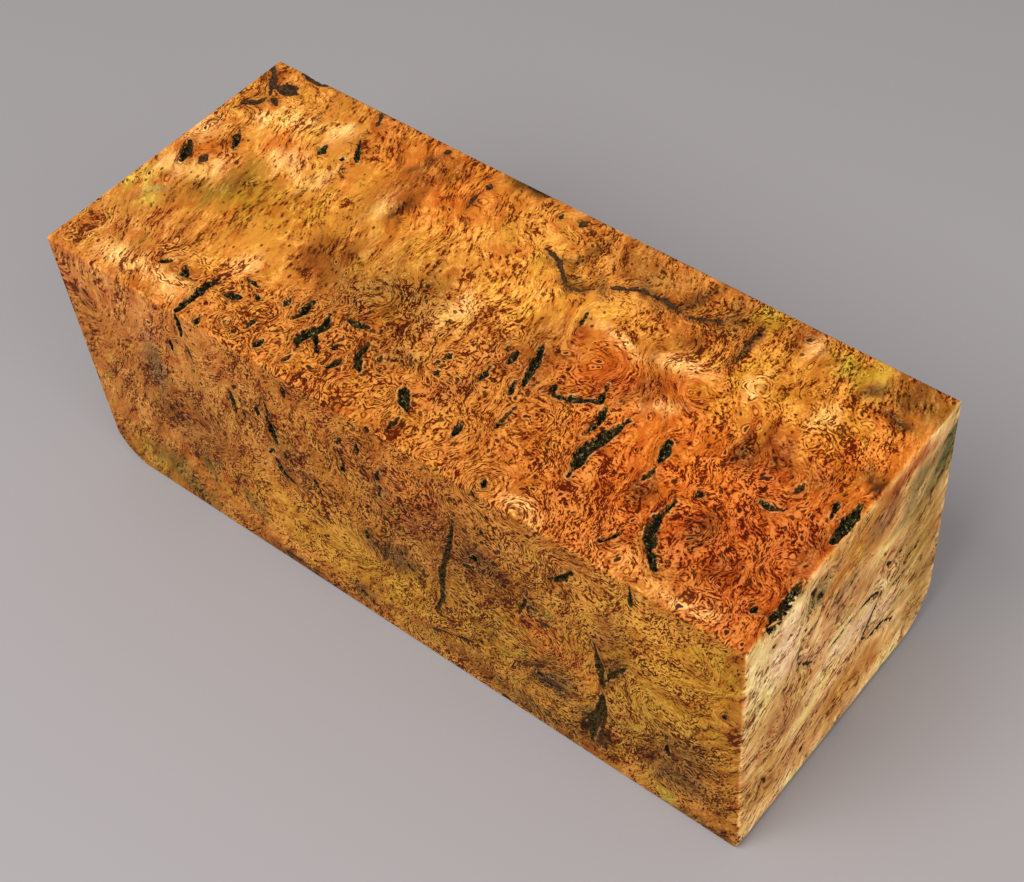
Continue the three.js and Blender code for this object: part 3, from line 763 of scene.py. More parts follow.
class BurlFigure:
    """What the wood shows at any point of the block's surface."""

    def __init__(self, size: np.ndarray) -> None:
        """Gathers each side's figure.

        Args:
            size: the block's length, width and height.
        """
        rng = np.random.default_rng(SEED)
        self.size = size
        self.warps = [SmoothChance(rng, 9.0) for _ in range(3)]
        self.edge_waver = SmoothChance(rng, 2.6)
        self.feather = SmoothChance(rng, 2.2)
        self.floor_grit = SmoothChance(rng, 0.9)
        self.sides = {
            Side.TOP: SideFigure(Hue.AMBER, TOP_POCKETS, TOP_EYES, TOP_STAINS, TOP_PATCHES),
            Side.FRONT: SideFigure(Hue.AMBER, FRONT_POCKETS, FRONT_EYES, FRONT_STAINS_AND_SHADE, FRONT_PATCHES),
            Side.RIGHT: SideFigure(Hue.SAPWOOD, RIGHT_POCKETS, RIGHT_EYES, RIGHT_STAINS, RIGHT_PATCHES),
        }
        for side, clusters in HIDDEN_SIDES.items():
            self.sides[side] = scattered(side, size, clusters, rng)

    def _reach(self, points: np.ndarray, side: Side, centre: Point2, reach: Point2, lean: float,
               depth: float) -> np.ndarray:
        """How far points lie from a patch's centre, as a share of its reach.

        Args:
            points: the points.
            side: the side that the patch is on.
            centre: its centre there.
            reach: its half-width along each of its own axes.
            lean: its turn on the side, in degrees.
            depth: how deep it goes into the wood.

        Returns:
            0 at the centre, 1 at the patch's edge.
        """
        offset = points - side.place(centre, self.size)
        first, second = offset[:, side.across[0]], offset[:, side.across[1]]
        turn = math.radians(lean)
        along = first * math.cos(turn) - second * math.sin(turn)
        across = first * math.sin(turn) + second * math.cos(turn)
        inward = offset[:, side.outward]
        return np.sqrt((along / reach[0]) ** 2 + (across / reach[1]) ** 2 + (inward / depth) ** 2)

    def pocket_distance(self, points: np.ndarray) -> tuple[np.ndarray, np.ndarray, np.ndarray]:
        """How far points lie from the nearest pocket's edge, below 0 inside.

        Args:
            points: the points.

        Returns:
            The distance, the nearest pocket's kind, and how deep it lies open.
        """
        nearest = np.full(len(points), FAR_POCKET)
        kind = np.zeros(len(points))
        depth = np.zeros(len(points))
        for side, figure in self.sides.items():
            for pocket in figure.pockets:
                away = self._from_route(points, side, pocket)
                closer = away < nearest
                nearest[closer] = away[closer]
                kind[closer] = pocket.filling.kind
                depth[closer] = min(pocket.filling.depth, 0.7 * pocket.width)
        return nearest, kind, depth

    def _from_route(self, points: np.ndarray, side: Side, pocket: Pocket) -> np.ndarray:
        """The distance of points from one pocket's edge, which narrows towards the route's ends.

        Args:
            points: the points.
            side: the side that the pocket is on.
            pocket: the pocket.

        Returns:
            The distances, below 0 inside.
        """
        spots = [side.place(spot, self.size) for spot in pocket.route]
        lengths = [np.linalg.norm(b - a) for a, b in zip(spots, spots[1:])]
        total = sum(lengths)
        nearest = np.full(len(points), FAR_POCKET)
        low = np.min(spots, axis=0) - FAR_POCKET
        high = np.max(spots, axis=0) + FAR_POCKET
        near = np.flatnonzero(((points > low) & (points < high)).all(axis=1))
        local = points[near]
        done = 0.0
        for start, end, length in zip(spots, spots[1:], lengths):
            run = (end - start) / length
            share = np.clip((local - start) @ run, 0.0, length)
            gap = np.linalg.norm(local - start - share[:, None] * run, axis=1)
            place = (done + share) / total
            taper = 0.12 + 0.88 * np.sin(np.pi * np.clip(place, 0.03, 0.97)) ** 0.8
            nearest[near] = np.minimum(nearest[near], gap - 0.5 * pocket.width * taper)
            done += length
        return nearest

    def eyes(self, points: np.ndarray) -> tuple[np.ndarray, np.ndarray]:
        """The fibres' detour round the eyes, and the distance to the nearest outlined eye's rim.

        Args:
            points: the points.

        Returns:
            The detour in millimetres, and the signed distance from the rim.
        """
        detour = np.zeros(len(points))
        rim = np.full(len(points), FAR_RIM)
        for side, figure in self.sides.items():
            for index, eye in enumerate(figure.eyes):
                share = self._reach(points, side, eye.centre, eye.reach, 0.0, FIGURE_DEPTH)
                turn = 1.0 if index % 2 else -1.0
                detour += turn * eye.swell * min(eye.reach) * np.exp(-share ** 2)
                away = (share - 1.0) * min(eye.reach) + FAR_RIM * (1.0 - eye.rim) ** 2
                rim = np.minimum(rim, away)
        return detour, rim

    def tint(self, points: np.ndarray, facing: np.ndarray) -> np.ndarray:
        """The wood's mean colour at each point, with its zones feathered along the fibres.

        Args:
            points: the points.
            facing: for each point, the index of its side in the list of sides.

        Returns:
            One linear colour a point.
        """
        normal = grain_normal()
        waver = np.stack([warp.at(points) for warp in self.warps], axis=1)
        sheet = points @ normal
        streak = self.feather.at(np.stack([sheet * 1.6, sheet * 0.4 + points[:, 1] * 0.08,
                                           points[:, 2] * 0.08], axis=1))
        colours = np.empty((len(points), 3))
        sway = 1.1 * waver
        for index, (side, figure) in enumerate(self.sides.items()):
            here = facing == index
            colours[here] = figure.ground.colour
            run = along_fibres(side)
            for axis, step in zip(side.across, run):
                sway[here, axis] += 1.5 * step * streak[here]
        for side, figure in self.sides.items():
            for stain in figure.stains:
                thinnest = min(stain.reach)
                moved = points + min(1.0, 0.08 + 0.2 * thinnest) * sway
                moved[:, side.outward] = points[:, side.outward]
                share = self._reach(moved, side, stain.centre, stain.reach, stain.lean, STAIN_DEPTH)
                weight = (1.0 - (1.0 - stain.strength) ** 1.6) * np.exp(-0.9 * share ** 3)
                colours += weight[:, None] * (stain.hue.colour - colours)
        return colours

    def character(self, points: np.ndarray) -> tuple[np.ndarray, np.ndarray]:
        """How curly the wood is, and how rich in pips, from 0 to 1 each.

        Args:
            points: the points.

        Returns:
            The curl and the pips.
        """
        curl = np.full(len(points), PLAIN_CURL)
        pips = np.full(len(points), PLAIN_PIPS)
        for side, figure in self.sides.items():
            for patch in figure.patches:
                share = self._reach(points, side, patch.centre, patch.reach, 0.0, FIGURE_DEPTH)
                weight = np.exp(-1.2 * share ** 3)
                curl += weight * (patch.curl - curl)
                pips += weight * (patch.pips - pips)
        return curl, pips

    def edge_noise(self, points: np.ndarray) -> np.ndarray:
        """The waver of a pocket's outline."""
        return 0.12 * self.edge_waver.at(points)


def read(items: bpy.types.bpy_prop_collection, name: str, width: int = 1,
         kind: type = np.float64) -> np.ndarray:
    """One property of all the vertices, edges, faces or corners of a mesh.

    Args:
        items: the vertices, edges, faces or corners.
        name: the property.
        width: how many numbers it has.
        kind: the type of its numbers.

    Returns:
        A row for each item, or just a number for each if the width is 1.
    """
    found = np.empty(len(items) * width, dtype=kind)
    items.foreach_get(name, found)
    return found.reshape(-1, width) if width > 1 else found


@dataclass(frozen=True)
class Round:
    """A rounded edge: the two axes of its section, which ends of them it is at, and its radius."""

    axes: tuple[int, int]
    ends: tuple[bool, bool]
    radius: float


@dataclass
class BurlBlock:
    """The block of burl wood, as long, wide and high as its node in the frame."""

    grid_step: float = 0.85
    edge_strip: float = 0.6
    edge_cuts: int = 2
    wane_left: float = 8.0
    wane_back: float = 12.0
    ease_right: float = 2.0
    ease_sawn: float = 0.5
    close_band: float = 0.66
    fine_band: float = 0.32
    map_gap: float = 0.8
    pocket_detour: float = 1.7

    def __post_init__(self) -> None:
        """Takes the size and place from the frame."""
        low, high = (np.array(corner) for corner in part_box(NODE))
        self.corner = low / MM
        self.size = (high - low) / MM
        self.figure = BurlFigure(self.size)
        self.sides = list(self.figure.sides)

    def build(self) -> bpy.types.Object:
        """Models the block, writes its figure, and returns it unfinished by any material."""
        piece = self._sawn_cube()
        self._cut_grid(piece)
        self._refine(piece, self.close_band, both_ways=True)
        self._refine(piece, self.fine_band, both_ways=False)
        flat = self._points(piece)
        facing = self._corner_sides(piece)
        self._map_sides(piece, flat)
        rounded = self._rounded(flat)
        self._move(piece, rounded)
        self._write_figure(piece, flat, facing)
        self._open_pockets(piece, flat, rounded)
        self._smooth(piece)
        return piece

    def _sawn_cube(self) -> bpy.types.Object:
        """A cube of the block's size, in its place."""
        bpy.ops.object.select_all(action="DESELECT")
        bpy.ops.mesh.primitive_cube_add(size=1.0, location=tuple((self.corner + self.size / 2) * MM))
        piece = bpy.context.object
        piece.name = "burl_wood_block"
        piece.data.name = "burl_wood_block"
        piece.scale = tuple(self.size * MM)
        bpy.ops.object.transform_apply(location=True, rotation=True, scale=True)
        return piece

    def _cut_grid(self, piece: bpy.types.Object) -> None:
        """Cuts the cube's faces into a grid, with narrower strips beside each edge."""
        for axis in range(3):
            for near_end in (True, False):
                self._bisect(piece, axis, near_end)
        for axis in range(3):
            segments = (self.size[axis] - 2 * self.edge_strip) / self.grid_step
            first = int(round(math.sqrt(segments)))
            second = int(round(segments / first))
            self._split_edges(piece, axis, 2 * self.edge_strip, 1e3, first - 1)
            self._split_edges(piece, axis, 2 * self.edge_strip, 1e3, second - 1)
            self._split_edges(piece, axis, 0.9 * self.edge_strip, 1.1 * self.edge_strip, self.edge_cuts)

    def _bisect(self, piece: bpy.types.Object, axis: int, near_end: bool) -> None:
        """Cuts all round the block, one edge strip in from an end of an axis.

        Args:
            piece: the block.
            axis: the axis to cut across.
            near_end: whether the cut is at the axis's low end.
        """
        bpy.context.view_layer.objects.active = piece
        level = self.edge_strip if near_end else self.size[axis] - self.edge_strip
        point = self.corner.copy()
        point[axis] += level
        normal = np.eye(3)[axis]
        bpy.ops.object.mode_set(mode="EDIT")
        bpy.ops.mesh.select_all(action="SELECT")
        bpy.ops.mesh.bisect(plane_co=tuple(point * MM), plane_no=tuple(normal), use_fill=False)
        bpy.ops.object.mode_set(mode="OBJECT")

    def _split_edges(self, piece: bpy.types.Object, axis: int, shortest: float, longest: float,
                     cuts: int) -> None:
        """Subdivides the edges that run along an axis and have a length in a range.

        Args:
            piece: the block.
            axis: the axis that the edges run along.
            shortest: the least length.
            longest: the greatest length.
            cuts: how many cuts each edge gets.
        """
        if cuts < 1:
            return
        points = self._points(piece)
        ends = read(piece.data.edges, "vertices", 2, np.int32)
        run = np.abs(points[ends[:, 1]] - points[ends[:, 0]])
        length = np.linalg.norm(run, axis=1)
        chosen = (run[:, axis] > 0.999 * length) & (length > shortest) & (length < longest)
        self._select(piece, chosen, "EDGE")
        bpy.ops.mesh.subdivide(number_cuts=cuts)
        bpy.ops.object.mode_set(mode="OBJECT")

    def _select(self, piece: bpy.types.Object, chosen: np.ndarray, kind: str) -> None:
        """Enters edit mode with just the chosen edges or faces selected.

        Args:
            piece: the block.
            chosen: for each edge or face, whether it is selected.
            kind: EDGE or FACE.
        """
        bpy.context.view_layer.objects.active = piece
        bpy.ops.object.mode_set(mode="EDIT")
        bpy.ops.mesh.select_mode(type=kind)
        bpy.ops.mesh.select_all(action="DESELECT")
        bpy.ops.object.mode_set(mode="OBJECT")
        parts = piece.data.edges if kind == "EDGE" else piece.data.polygons
        parts.foreach_set("select", chosen)
        bpy.ops.object.mode_set(mode="EDIT")

    def _refine(self, piece: bpy.types.Object, band: float, both_ways: bool) -> None:
        """Subdivides the faces near a pocket's edge once more.

        Args:
            piece: the block.
            band: how near counts.
            both_ways: whether the inside of a pocket counts as near.
        """
        centres = read(piece.data.polygons, "center", 3) / MM - self.corner
        away, _, _ = self.figure.pocket_distance(centres)
        chosen = away < band if both_ways else np.abs(away) < band
        self._select(piece, chosen, "FACE")
        bpy.ops.mesh.subdivide(number_cuts=1, ngon=False)
        bpy.ops.object.mode_set(mode="OBJECT")

    def _points(self, piece: bpy.types.Object) -> np.ndarray:
        """The vertices, in millimetres from the block's corner."""
        return read(piece.data.vertices, "co", 3) / MM - self.corner

    def _move(self, piece: bpy.types.Object, points: np.ndarray) -> None:
        """Puts the vertices at these points."""
        piece.data.vertices.foreach_set("co", ((points + self.corner) * MM).ravel())
        piece.data.update()

    def _corner_sides(self, piece: bpy.types.Object) -> np.ndarray:
        """Finds the side of each corner of the faces, while the block is still sharp.

        Args:
            piece: the block.

        Returns:
            For each vertex, the index of a side it lies on.
        """
        mesh = piece.data
        face_sides = self._side_of(read(mesh.polygons, "normal", 3))
        self.corner_sides = np.repeat(face_sides, read(mesh.polygons, "loop_total", kind=np.int32))
        facing = np.empty(len(mesh.vertices), dtype=np.int32)
        facing[read(mesh.loops, "vertex_index", kind=np.int32)] = self.corner_sides
        return facing

    def _side_of(self, normals: np.ndarray) -> np.ndarray:
        """Which side each normal points out of.

        Args:
            normals: one unit vector a row.

        Returns:
            Each one's index in the list of sides.
        """
        found = np.zeros(len(normals), dtype=np.int32)
        for index, side in enumerate(self.sides):
            way = 1.0 if side.value[3] else -1.0
            found[way * normals[:, side.outward] > 0.7] = index
        return found

    def _map_sides(self, piece: bpy.types.Object, flat: np.ndarray) -> None:
        """Lays the six sides out flat, beside each other, in the block's own map.

        Args:
            piece: the block.
            flat: its vertices while it is still sharp.
        """
        mesh = piece.data
        length, width, height = self.size
        gap = self.map_gap
        rows = np.cumsum([gap, width + gap, height + gap, height + gap])
        places = {
            Side.TOP: (gap, rows[0]),
            Side.FRONT: (gap, rows[1]),
            Side.BACK: (gap, rows[2]),
            Side.UNDER: (gap, rows[3]),
            Side.RIGHT: (length + 2 * gap, gap),
            Side.LEFT: (length + 2 * gap, height + 2 * gap),
        }
        extent = rows[3] + width + gap
        spots = flat[read(mesh.loops, "vertex_index", kind=np.int32)]
        found = np.zeros((len(spots), 2))
        for index, side in enumerate(self.sides):
            here = self.corner_sides == index
            for way in range(2):
                found[here, way] = (spots[here, side.across[way]] + places[side][way]) / extent
        layer = mesh.uv_layers.new(name="OFBake")
        layer.uv.foreach_set("vector", found.ravel())

    def _rounds(self) -> list[Round]:
        """Every rounded edge: the two large ones, the eased one, and the sawn rest."""
        special = {
            ((0, 2), (False, False)): self.wane_left,
            ((0, 2), (True, False)): self.ease_right,
            ((1, 2), (True, False)): self.wane_back,
        }
        rounds = []
        for axes in ((0, 2), (1, 2), (0, 1)):
            for ends in ((False, False), (True, False), (False, True), (True, True)):
                rounds.append(Round(axes, ends, special.get((axes, ends), self.ease_sawn)))
        return rounds

    def _rounded(self, flat: np.ndarray) -> np.ndarray:
        """The vertices drawn in to the rounds along the edges.

        Args:
            flat: the vertices of the sharp block.

        Returns:
            The vertices of the rounded one.
        """
        points = flat.copy()
        for edge in self._rounds():
            offsets = []
            for axis, far in zip(edge.axes, edge.ends):
                centre = self.size[axis] - edge.radius if far else edge.radius
                offsets.append((points[:, axis] - centre) * (1.0 if far else -1.0))
            distance = np.hypot(*offsets)
            outside = (offsets[0] > 0) & (offsets[1] > 0) & (distance > edge.radius)
            pull = edge.radius / distance[outside]
            for axis, far, offset in zip(edge.axes, edge.ends, offsets):
                centre = self.size[axis] - edge.radius if far else edge.radius
                points[outside, axis] = centre + offset[outside] * pull * (1.0 if far else -1.0)
        return points

    def _write_figure(self, piece: bpy.types.Object, points: np.ndarray, facing: np.ndarray) -> None:
        """Stores what the material draws as attributes of the vertices.

        Args:
            piece: the block.
            points: its vertices while it is still sharp.
            facing: the side each of them lies on.
        """
        away, kind, _ = self.figure.pocket_distance(points)
        detour, rim = self.figure.eyes(points)
        curl, pips = self.figure.character(points)
        detour += self.pocket_detour * np.exp(-(np.maximum(away, 0.0) / 1.3) ** 2)
        tint = np.ones((len(points), 4))
        zones = self.figure.tint(points, facing)
        light = zones @ LUMINANCE
        light /= Hue.AMBER.colour @ LUMINANCE
        tint[:, :3] = np.clip(REFLECTED * zones * light[:, None] ** ZONE_CONTRAST, 0.0, BRIGHTEST)
        for name, values in (
            ("pocket_edge", away + self.figure.edge_noise(points)),
            ("pocket_kind", kind),
            ("fibre_detour", detour),
            ("eye_rim", rim),
            ("curl", curl),
            ("pips", pips),
        ):
            layer = piece.data.attributes.new(name, "FLOAT", "POINT")
            layer.data.foreach_set("value", values.astype(np.float32))
        layer = piece.data.attributes.new("tint", "FLOAT_COLOR", "POINT")
        layer.data.foreach_set("color", tint.astype(np.float32).ravel())

    def _open_pockets(self, piece: bpy.types.Object, flat: np.ndarray, points: np.ndarray) -> None:
        """Sinks the vertices inside each pocket to its rough floor.

        Args:
            piece: the block.
            flat: its vertices while it is still sharp.
            points: its vertices.
        """
        normals = read(piece.data.vertices, "normal", 3)
        away, _, depth = self.figure.pocket_distance(flat)
        away = away + self.figure.edge_noise(flat)
        sink = depth * smoothstep(-away, -0.06, 0.42)
        sink *= 1.0 + 0.28 * self.figure.floor_grit.at(points)
        inside = away < 0.06
        points = points.copy()
        points[inside] -= normals[inside] * np.maximum(sink[inside], 0.0)[:, None]
        self._move(piece, points)

    def _smooth(self, piece: bpy.types.Object) -> None:
        """Shades the block smooth, apart from steep breaks.

        Args:
            piece: the block.
        """
        bpy.ops.object.select_all(action="DESELECT")
        piece.select_set(True)
        bpy.context.view_layer.objects.active = piece
        bpy.ops.object.shade_smooth_by_angle(angle=math.radians(50))


@dataclass(frozen=True)
class Grain:
    """Noise that follows the fibres: how far apart its hills lie, and its turns for each mm across."""

    spacing: float
    across: float
    detail: float = 2.0
    roughness: float = 0.5


class Bench:
    """Adds nodes to one tree and joins them up."""

    def __init__(self, tree: bpy.types.NodeTree) -> None:
        """Starts on a tree.

        Args:
            tree: the node tree to build in.
        """
        self.tree = tree

    def add(self, kind: str, **settings: object) -> bpy.types.Node:
        """A new node.

        Args:
            kind: its type.
            settings: its properties.

        Returns:
            The node.
        """
        node = self.tree.nodes.new(kind)
        for name, value in settings.items():
            setattr(node, name, value)
        return node

    def feed(self, socket: bpy.types.NodeSocket, value: object) -> None:
        """Joins a socket to an input, or sets the input to a value.

        Args:
            socket: the input.
            value: another node's output, or what the input is set to.
        """
        if isinstance(value, bpy.types.NodeSocket):
            self.tree.links.new(value, socket)
        else:
            socket.default_value = value

    def math(self, operation: str, first: object, second: object = 0.0,
             third: object = 0.0) -> bpy.types.NodeSocket:
        """A Math node.

        Args:
            operation: what it does.
            first: its first value or socket.
            second: its second.
            third: its third.

        Returns:
            Its result.
        """
        node = self.add("ShaderNodeMath", operation=operation)
        for socket, value in zip(node.inputs, (first, second, third)):
            self.feed(socket, value)
        return node.outputs[0]

    def vector(self, operation: str, first: object, second: object = None,
               scale: object = None) -> bpy.types.NodeSocket:
        """A Vector Math node.

        Args:
            operation: what it does.
            first: its first vector or socket.
            second: its second, where it has one.
            scale: its scale, where it has one.

        Returns:
            Its result, a value for a dot product.
        """
        node = self.add("ShaderNodeVectorMath", operation=operation)
        self.feed(node.inputs[0], first)
        if second is not None:
            self.feed(node.inputs[1], second)
        if scale is not None:
            self.feed(node.inputs["Scale"], scale)
        return node.outputs["Value" if operation == "DOT_PRODUCT" else "Vector"]

    def mix(self, share: object, first: object, second: object) -> bpy.types.NodeSocket:
        """A value between two.

        Args:
            share: how far it lies towards the second.
            first: a value or socket.
            second: a value or socket.

        Returns:
            The value.
        """
        node = self.add("ShaderNodeMix", data_type="FLOAT")
        for socket, value in zip(node.inputs[:1] + node.inputs[2:4], (share, first, second)):
            self.feed(socket, value)
        return node.outputs[0]

    def blend(self, share: object, first: object, second: object,
              how: str = "MIX") -> bpy.types.NodeSocket:
        """Two colours blended by a share.

        Args:
            share: how much of the second shows.
            first: a colour or a socket.
            second: a colour or a socket.
            how: the blend type.

        Returns:
            The blended colour.
        """
        node = self.add("ShaderNodeMix", data_type="RGBA", blend_type=how, clamp_factor=True)
        self.feed(node.inputs[0], share)
        for socket, value in ((node.inputs[6], first), (node.inputs[7], second)):
            self.feed(socket, (*value, 1.0) if isinstance(value, tuple) else value)
        return node.outputs[2]

    def times(self, colour: object, factor: Colour) -> bpy.types.NodeSocket:
        """A colour multiplied by another."""
        return self.blend(1.0, colour, factor, "MULTIPLY")

    def ease(self, value: object, low: float, high: float, bottom: float = 0.0,
             top: float = 1.0) -> bpy.types.NodeSocket:
        """A value eased from one level to another.

        Args:
            value: the value.
            low: where the easing starts, which may lie above its end.
            high: where it ends.
            bottom: the result at its start.
            top: the result at its end.

        Returns:
            The eased value.
        """
        node = self.add("ShaderNodeMapRange", interpolation_type="SMOOTHSTEP")
        for name, number in (("Value", value), ("From Min", low), ("From Max", high),
                             ("To Min", bottom), ("To Max", top)):
            self.feed(node.inputs[name], number)
        return node.outputs["Result"]

    def band(self, value: object, middle: float, half: float) -> bpy.types.NodeSocket:
        """1 where a value is at the middle, falling to 0 half a width to either side."""
        away = self.math("ABSOLUTE", self.math("SUBTRACT", value, middle))
        return self.ease(away, half, 0.0)

    def both(self, first: object, second: object) -> bpy.types.NodeSocket:
        """Two masks or strengths multiplied."""
        return self.math("MULTIPLY", first, second)

    def grow(self, value: object, slope: object, start: object) -> bpy.types.NodeSocket:
        """A strength that has a start at 0 and grows by a slope."""
        return self.math("MULTIPLY_ADD", value, slope, start)

    def sway(self, noise: object, gain: object, value: object) -> bpy.types.NodeSocket:
        """A value moved up and down by noise about its middle, times a gain."""
        return self.grow(self.math("SUBTRACT", noise, 0.5), gain, value)

    def noise(self, place: object, spacing: float, detail: float = 2.0, roughness: float = 0.5,
              slide: object = None) -> bpy.types.NodeSocket:
        """Noise between 0 and 1.

        Args:
            place: the coordinates, in millimetres.
            spacing: how far apart its hills lie.
            detail: how many finer layers it has.
            roughness: how strong the finer layers are.
            slide: a fourth coordinate.

        Returns:
            The noise's value.
        """
        node = self.add("ShaderNodeTexNoise", noise_dimensions="3D" if slide is None else "4D")
        self.feed(node.inputs["Vector"], self.vector("SCALE", place, scale=1.0 / spacing))
        node.inputs["Scale"].default_value = 1.0
        node.inputs["Detail"].default_value = detail
        node.inputs["Roughness"].default_value = roughness
        if slide is not None:
            self.feed(node.inputs["W"], slide)
        return node.outputs[0]

    def grain(self, place: object, sheet: object, grain: Grain) -> bpy.types.NodeSocket:
        """Noise that follows the fibres.

        Args:
            place: the coordinates, in millimetres.
            sheet: the sheet of fibre.
            grain: its sizes.

        Returns:
            The noise's value.
        """
        slide = self.both(sheet, grain.across)
        return self.noise(place, grain.spacing, grain.detail, grain.roughness, slide)

    def cells(self, place: object, scale: float, slide: object = None) -> bpy.types.Node:
        """Scattered cells.

        Args:
            place: the coordinates, in millimetres.
            scale: how many cells there are in a millimetre.
            slide: a fourth coordinate.

        Returns:
            The node, with its distance and its colours.
        """
        flat = "3D" if slide is None else "4D"
        node = self.add("ShaderNodeTexVoronoi", feature="F1", voronoi_dimensions=flat)
        self.feed(node.inputs["Vector"], self.vector("SCALE", place, scale=scale))
        node.inputs["Scale"].default_value = 1.0
        if slide is not None:
            self.feed(node.inputs["W"], slide)
        return node

    def attribute(self, name: str, output: str = "Fac") -> bpy.types.NodeSocket:
        """An attribute of the piece."""
        return self.add("ShaderNodeAttribute", attribute_name=name).outputs[output]


@dataclass(frozen=True)
class BurlWood:
    """Sanded maple burl: curly fibres, eyes, pips and bark, drawn from the block's attributes."""

    gloss: float = 0.05
    roughness: float = 0.46
    relief: float = 0.00003
    # Fibres, from the finest to the broadest.
    crackle: Grain = Grain(0.42, 1.0 / 0.26, 1.0)
    curly: Grain = Grain(0.8, 1.0 / 0.32, 2.5, 0.60)
    straight: Grain = Grain(1.4, 1.0 / 0.40, 2.0, 0.65)
    whorls: Grain = Grain(2.2, 0.45, 1.5)
    smudge: Grain = Grain(2.3, 0.9)
    flow: Grain = Grain(6.0, 0.8, 1.0)
    flames: Grain = Grain(7.5, 0.75)
    broad: Grain = Grain(14.0, 0.25)
    # Hues that wander along the fibres.
    rust: Grain = Grain(3.4, 0.5)
    gold: Grain = Grain(6.5, 0.4)
    redder: Colour = (0.78, 0.52, 0.34)
    yellower: Colour = (0.98, 1.11, 0.88)
    # What the tint is multiplied by in dark and pale fibres, and in slits.
    dark: Colour = (0.20, 0.08, 0.02)
    pale: Colour = (1.42, 1.66, 1.9)
    slit: Colour = (0.085, 0.055, 0.035)
    ivory: Colour = (0.80, 0.50, 0.19)
    core: Colour = (0.030, 0.011, 0.003)
    # Round the pockets, and in them. The shade is painted shade round each pocket, and the glint is painted
    # glints in the bark.
    shade: Colour = (0.45, 0.36, 0.3)
    rim: Colour = (0.66, 0.34, 0.10)
    bark: tuple[Colour, Colour] = ((0.0035, 0.0015, 0.0004), (0.010, 0.010, 0.002))
    crumb: Colour = (0.035, 0.016, 0.003)
    glint: Colour = (0.16, 0.15, 0.055)
    olive: tuple[Colour, Colour] = ((0.006, 0.003, 0.001), (0.080, 0.046, 0.012))
    brown: tuple[Colour, Colour] = ((0.014, 0.006, 0.003), (0.070, 0.034, 0.014))

    def build(self) -> bpy.types.Material:
        """The finish as a material."""
        material = bpy.data.materials.new("burl_wood")
        material.use_nodes = True
        tree = material.node_tree
        tree.nodes.clear()
        bench = Bench(tree)
        place = bench.vector("SCALE", bench.add("ShaderNodeTexCoord").outputs["Object"], scale=1.0 / MM)
        curl = bench.attribute("curl")
        sheet = self._sheet(bench, place, curl)
        tone = self._tone(bench, place, sheet, curl)
        tone = self._eye_rings(bench, tone, place)
        tone, cores = self._pips(bench, tone, place, sheet)
        colour = self._strands(bench, tone, place, sheet)
        colour = bench.blend(bench.both(cores, 0.92), colour, self.core)
        colour, height, roughness = self._pockets(bench, colour, place, tone)
        bump = bench.add("ShaderNodeBump")
        bench.feed(bump.inputs["Height"], height)
        bump.inputs["Distance"].default_value = self.relief
        bump.inputs["Strength"].default_value = 1.0
        shader = bench.add("ShaderNodeBsdfPrincipled")
        bench.feed(shader.inputs["Base Color"], colour)
        bench.feed(shader.inputs["Roughness"], roughness)
        bench.feed(shader.inputs["Normal"], bump.outputs["Normal"])
        shader.inputs["Specular IOR Level"].default_value = self.gloss
        output = bench.add("ShaderNodeOutputMaterial")
        bench.feed(output.inputs["Surface"], shader.outputs["BSDF"])
        return material

    def _sheet(self, bench: Bench, place: bpy.types.NodeSocket,
               curl: bpy.types.NodeSocket) -> bpy.types.NodeSocket:
        """Which sheet of fibre a place lies in. The curlier the wood, the more the sheets wave.

        Args:
            bench: the tree's bench.
            place: the place, in millimetres.
            curl: how curly the wood is.

        Returns:
            Millimetres across the sheets.
        """
        level = bench.vector("DOT_PRODUCT", place, tuple(grain_normal()))
        level = bench.math("ADD", level, bench.attribute("fibre_detour"))
        level = bench.sway(bench.noise(place, 22.0, detail=1.0), 9.0, level)
        level = bench.sway(bench.noise(place, 6.0, detail=1.0), bench.grow(curl, 4.4, 1.3), level)
        return bench.sway(bench.noise(place, 2.3, detail=1.0), bench.grow(curl, 2.4, 0.2), level)

    def _tone(self, bench: Bench, place: bpy.types.NodeSocket, sheet: bpy.types.NodeSocket,
              curl: bpy.types.NodeSocket) -> bpy.types.NodeSocket:
        """How light the fibres are.

        Args:
            bench: the tree's bench.
            place: the place, in millimetres.
            sheet: the sheet of fibre.
            curl: how curly the wood is.

        Returns:
            The tone, about 0.5 on average.
        """
        straight = bench.grain(place, sheet, self.straight)
        curly = bench.grain(place, sheet, self.curly)
        fine = bench.mix(bench.ease(curl, 0.15, 0.75), straight, curly)
        lively = bench.ease(bench.noise(place, 4.4, detail=1.5), 0.38, 0.62, 0.35, 1.35)
        tone = bench.sway(fine, bench.both(bench.grow(curl, 3.3, 1.4), lively), 0.5)
        crackle = bench.grain(place, sheet, self.crackle)
        tone = bench.sway(crackle, bench.both(bench.grow(curl, 2.6, 0.3), lively), tone)
        rings = bench.math("SINE", bench.both(bench.grain(place, sheet, self.whorls), 66.0))
        broken = bench.ease(bench.noise(place, 1.4), 0.36, 0.60)
        tone = bench.grow(rings, bench.both(broken, bench.grow(curl, 0.22, 0.04)), tone)
        drawn = bench.both(bench.band(bench.grain(place, sheet, self.flow), 0.5, 0.05),
                           bench.ease(bench.noise(place, 4.0), 0.40, 0.60))
        tone = bench.grow(drawn, bench.grow(curl, -0.34, -0.08), tone)
        tone = bench.sway(bench.grain(place, sheet, self.smudge), bench.grow(curl, 0.7, 0.2), tone)
        tone = bench.sway(bench.grain(place, sheet, self.flames), bench.grow(curl, 0.55, 0.85), tone)
        return bench.sway(bench.grain(place, sheet, self.broad), 0.7, tone)

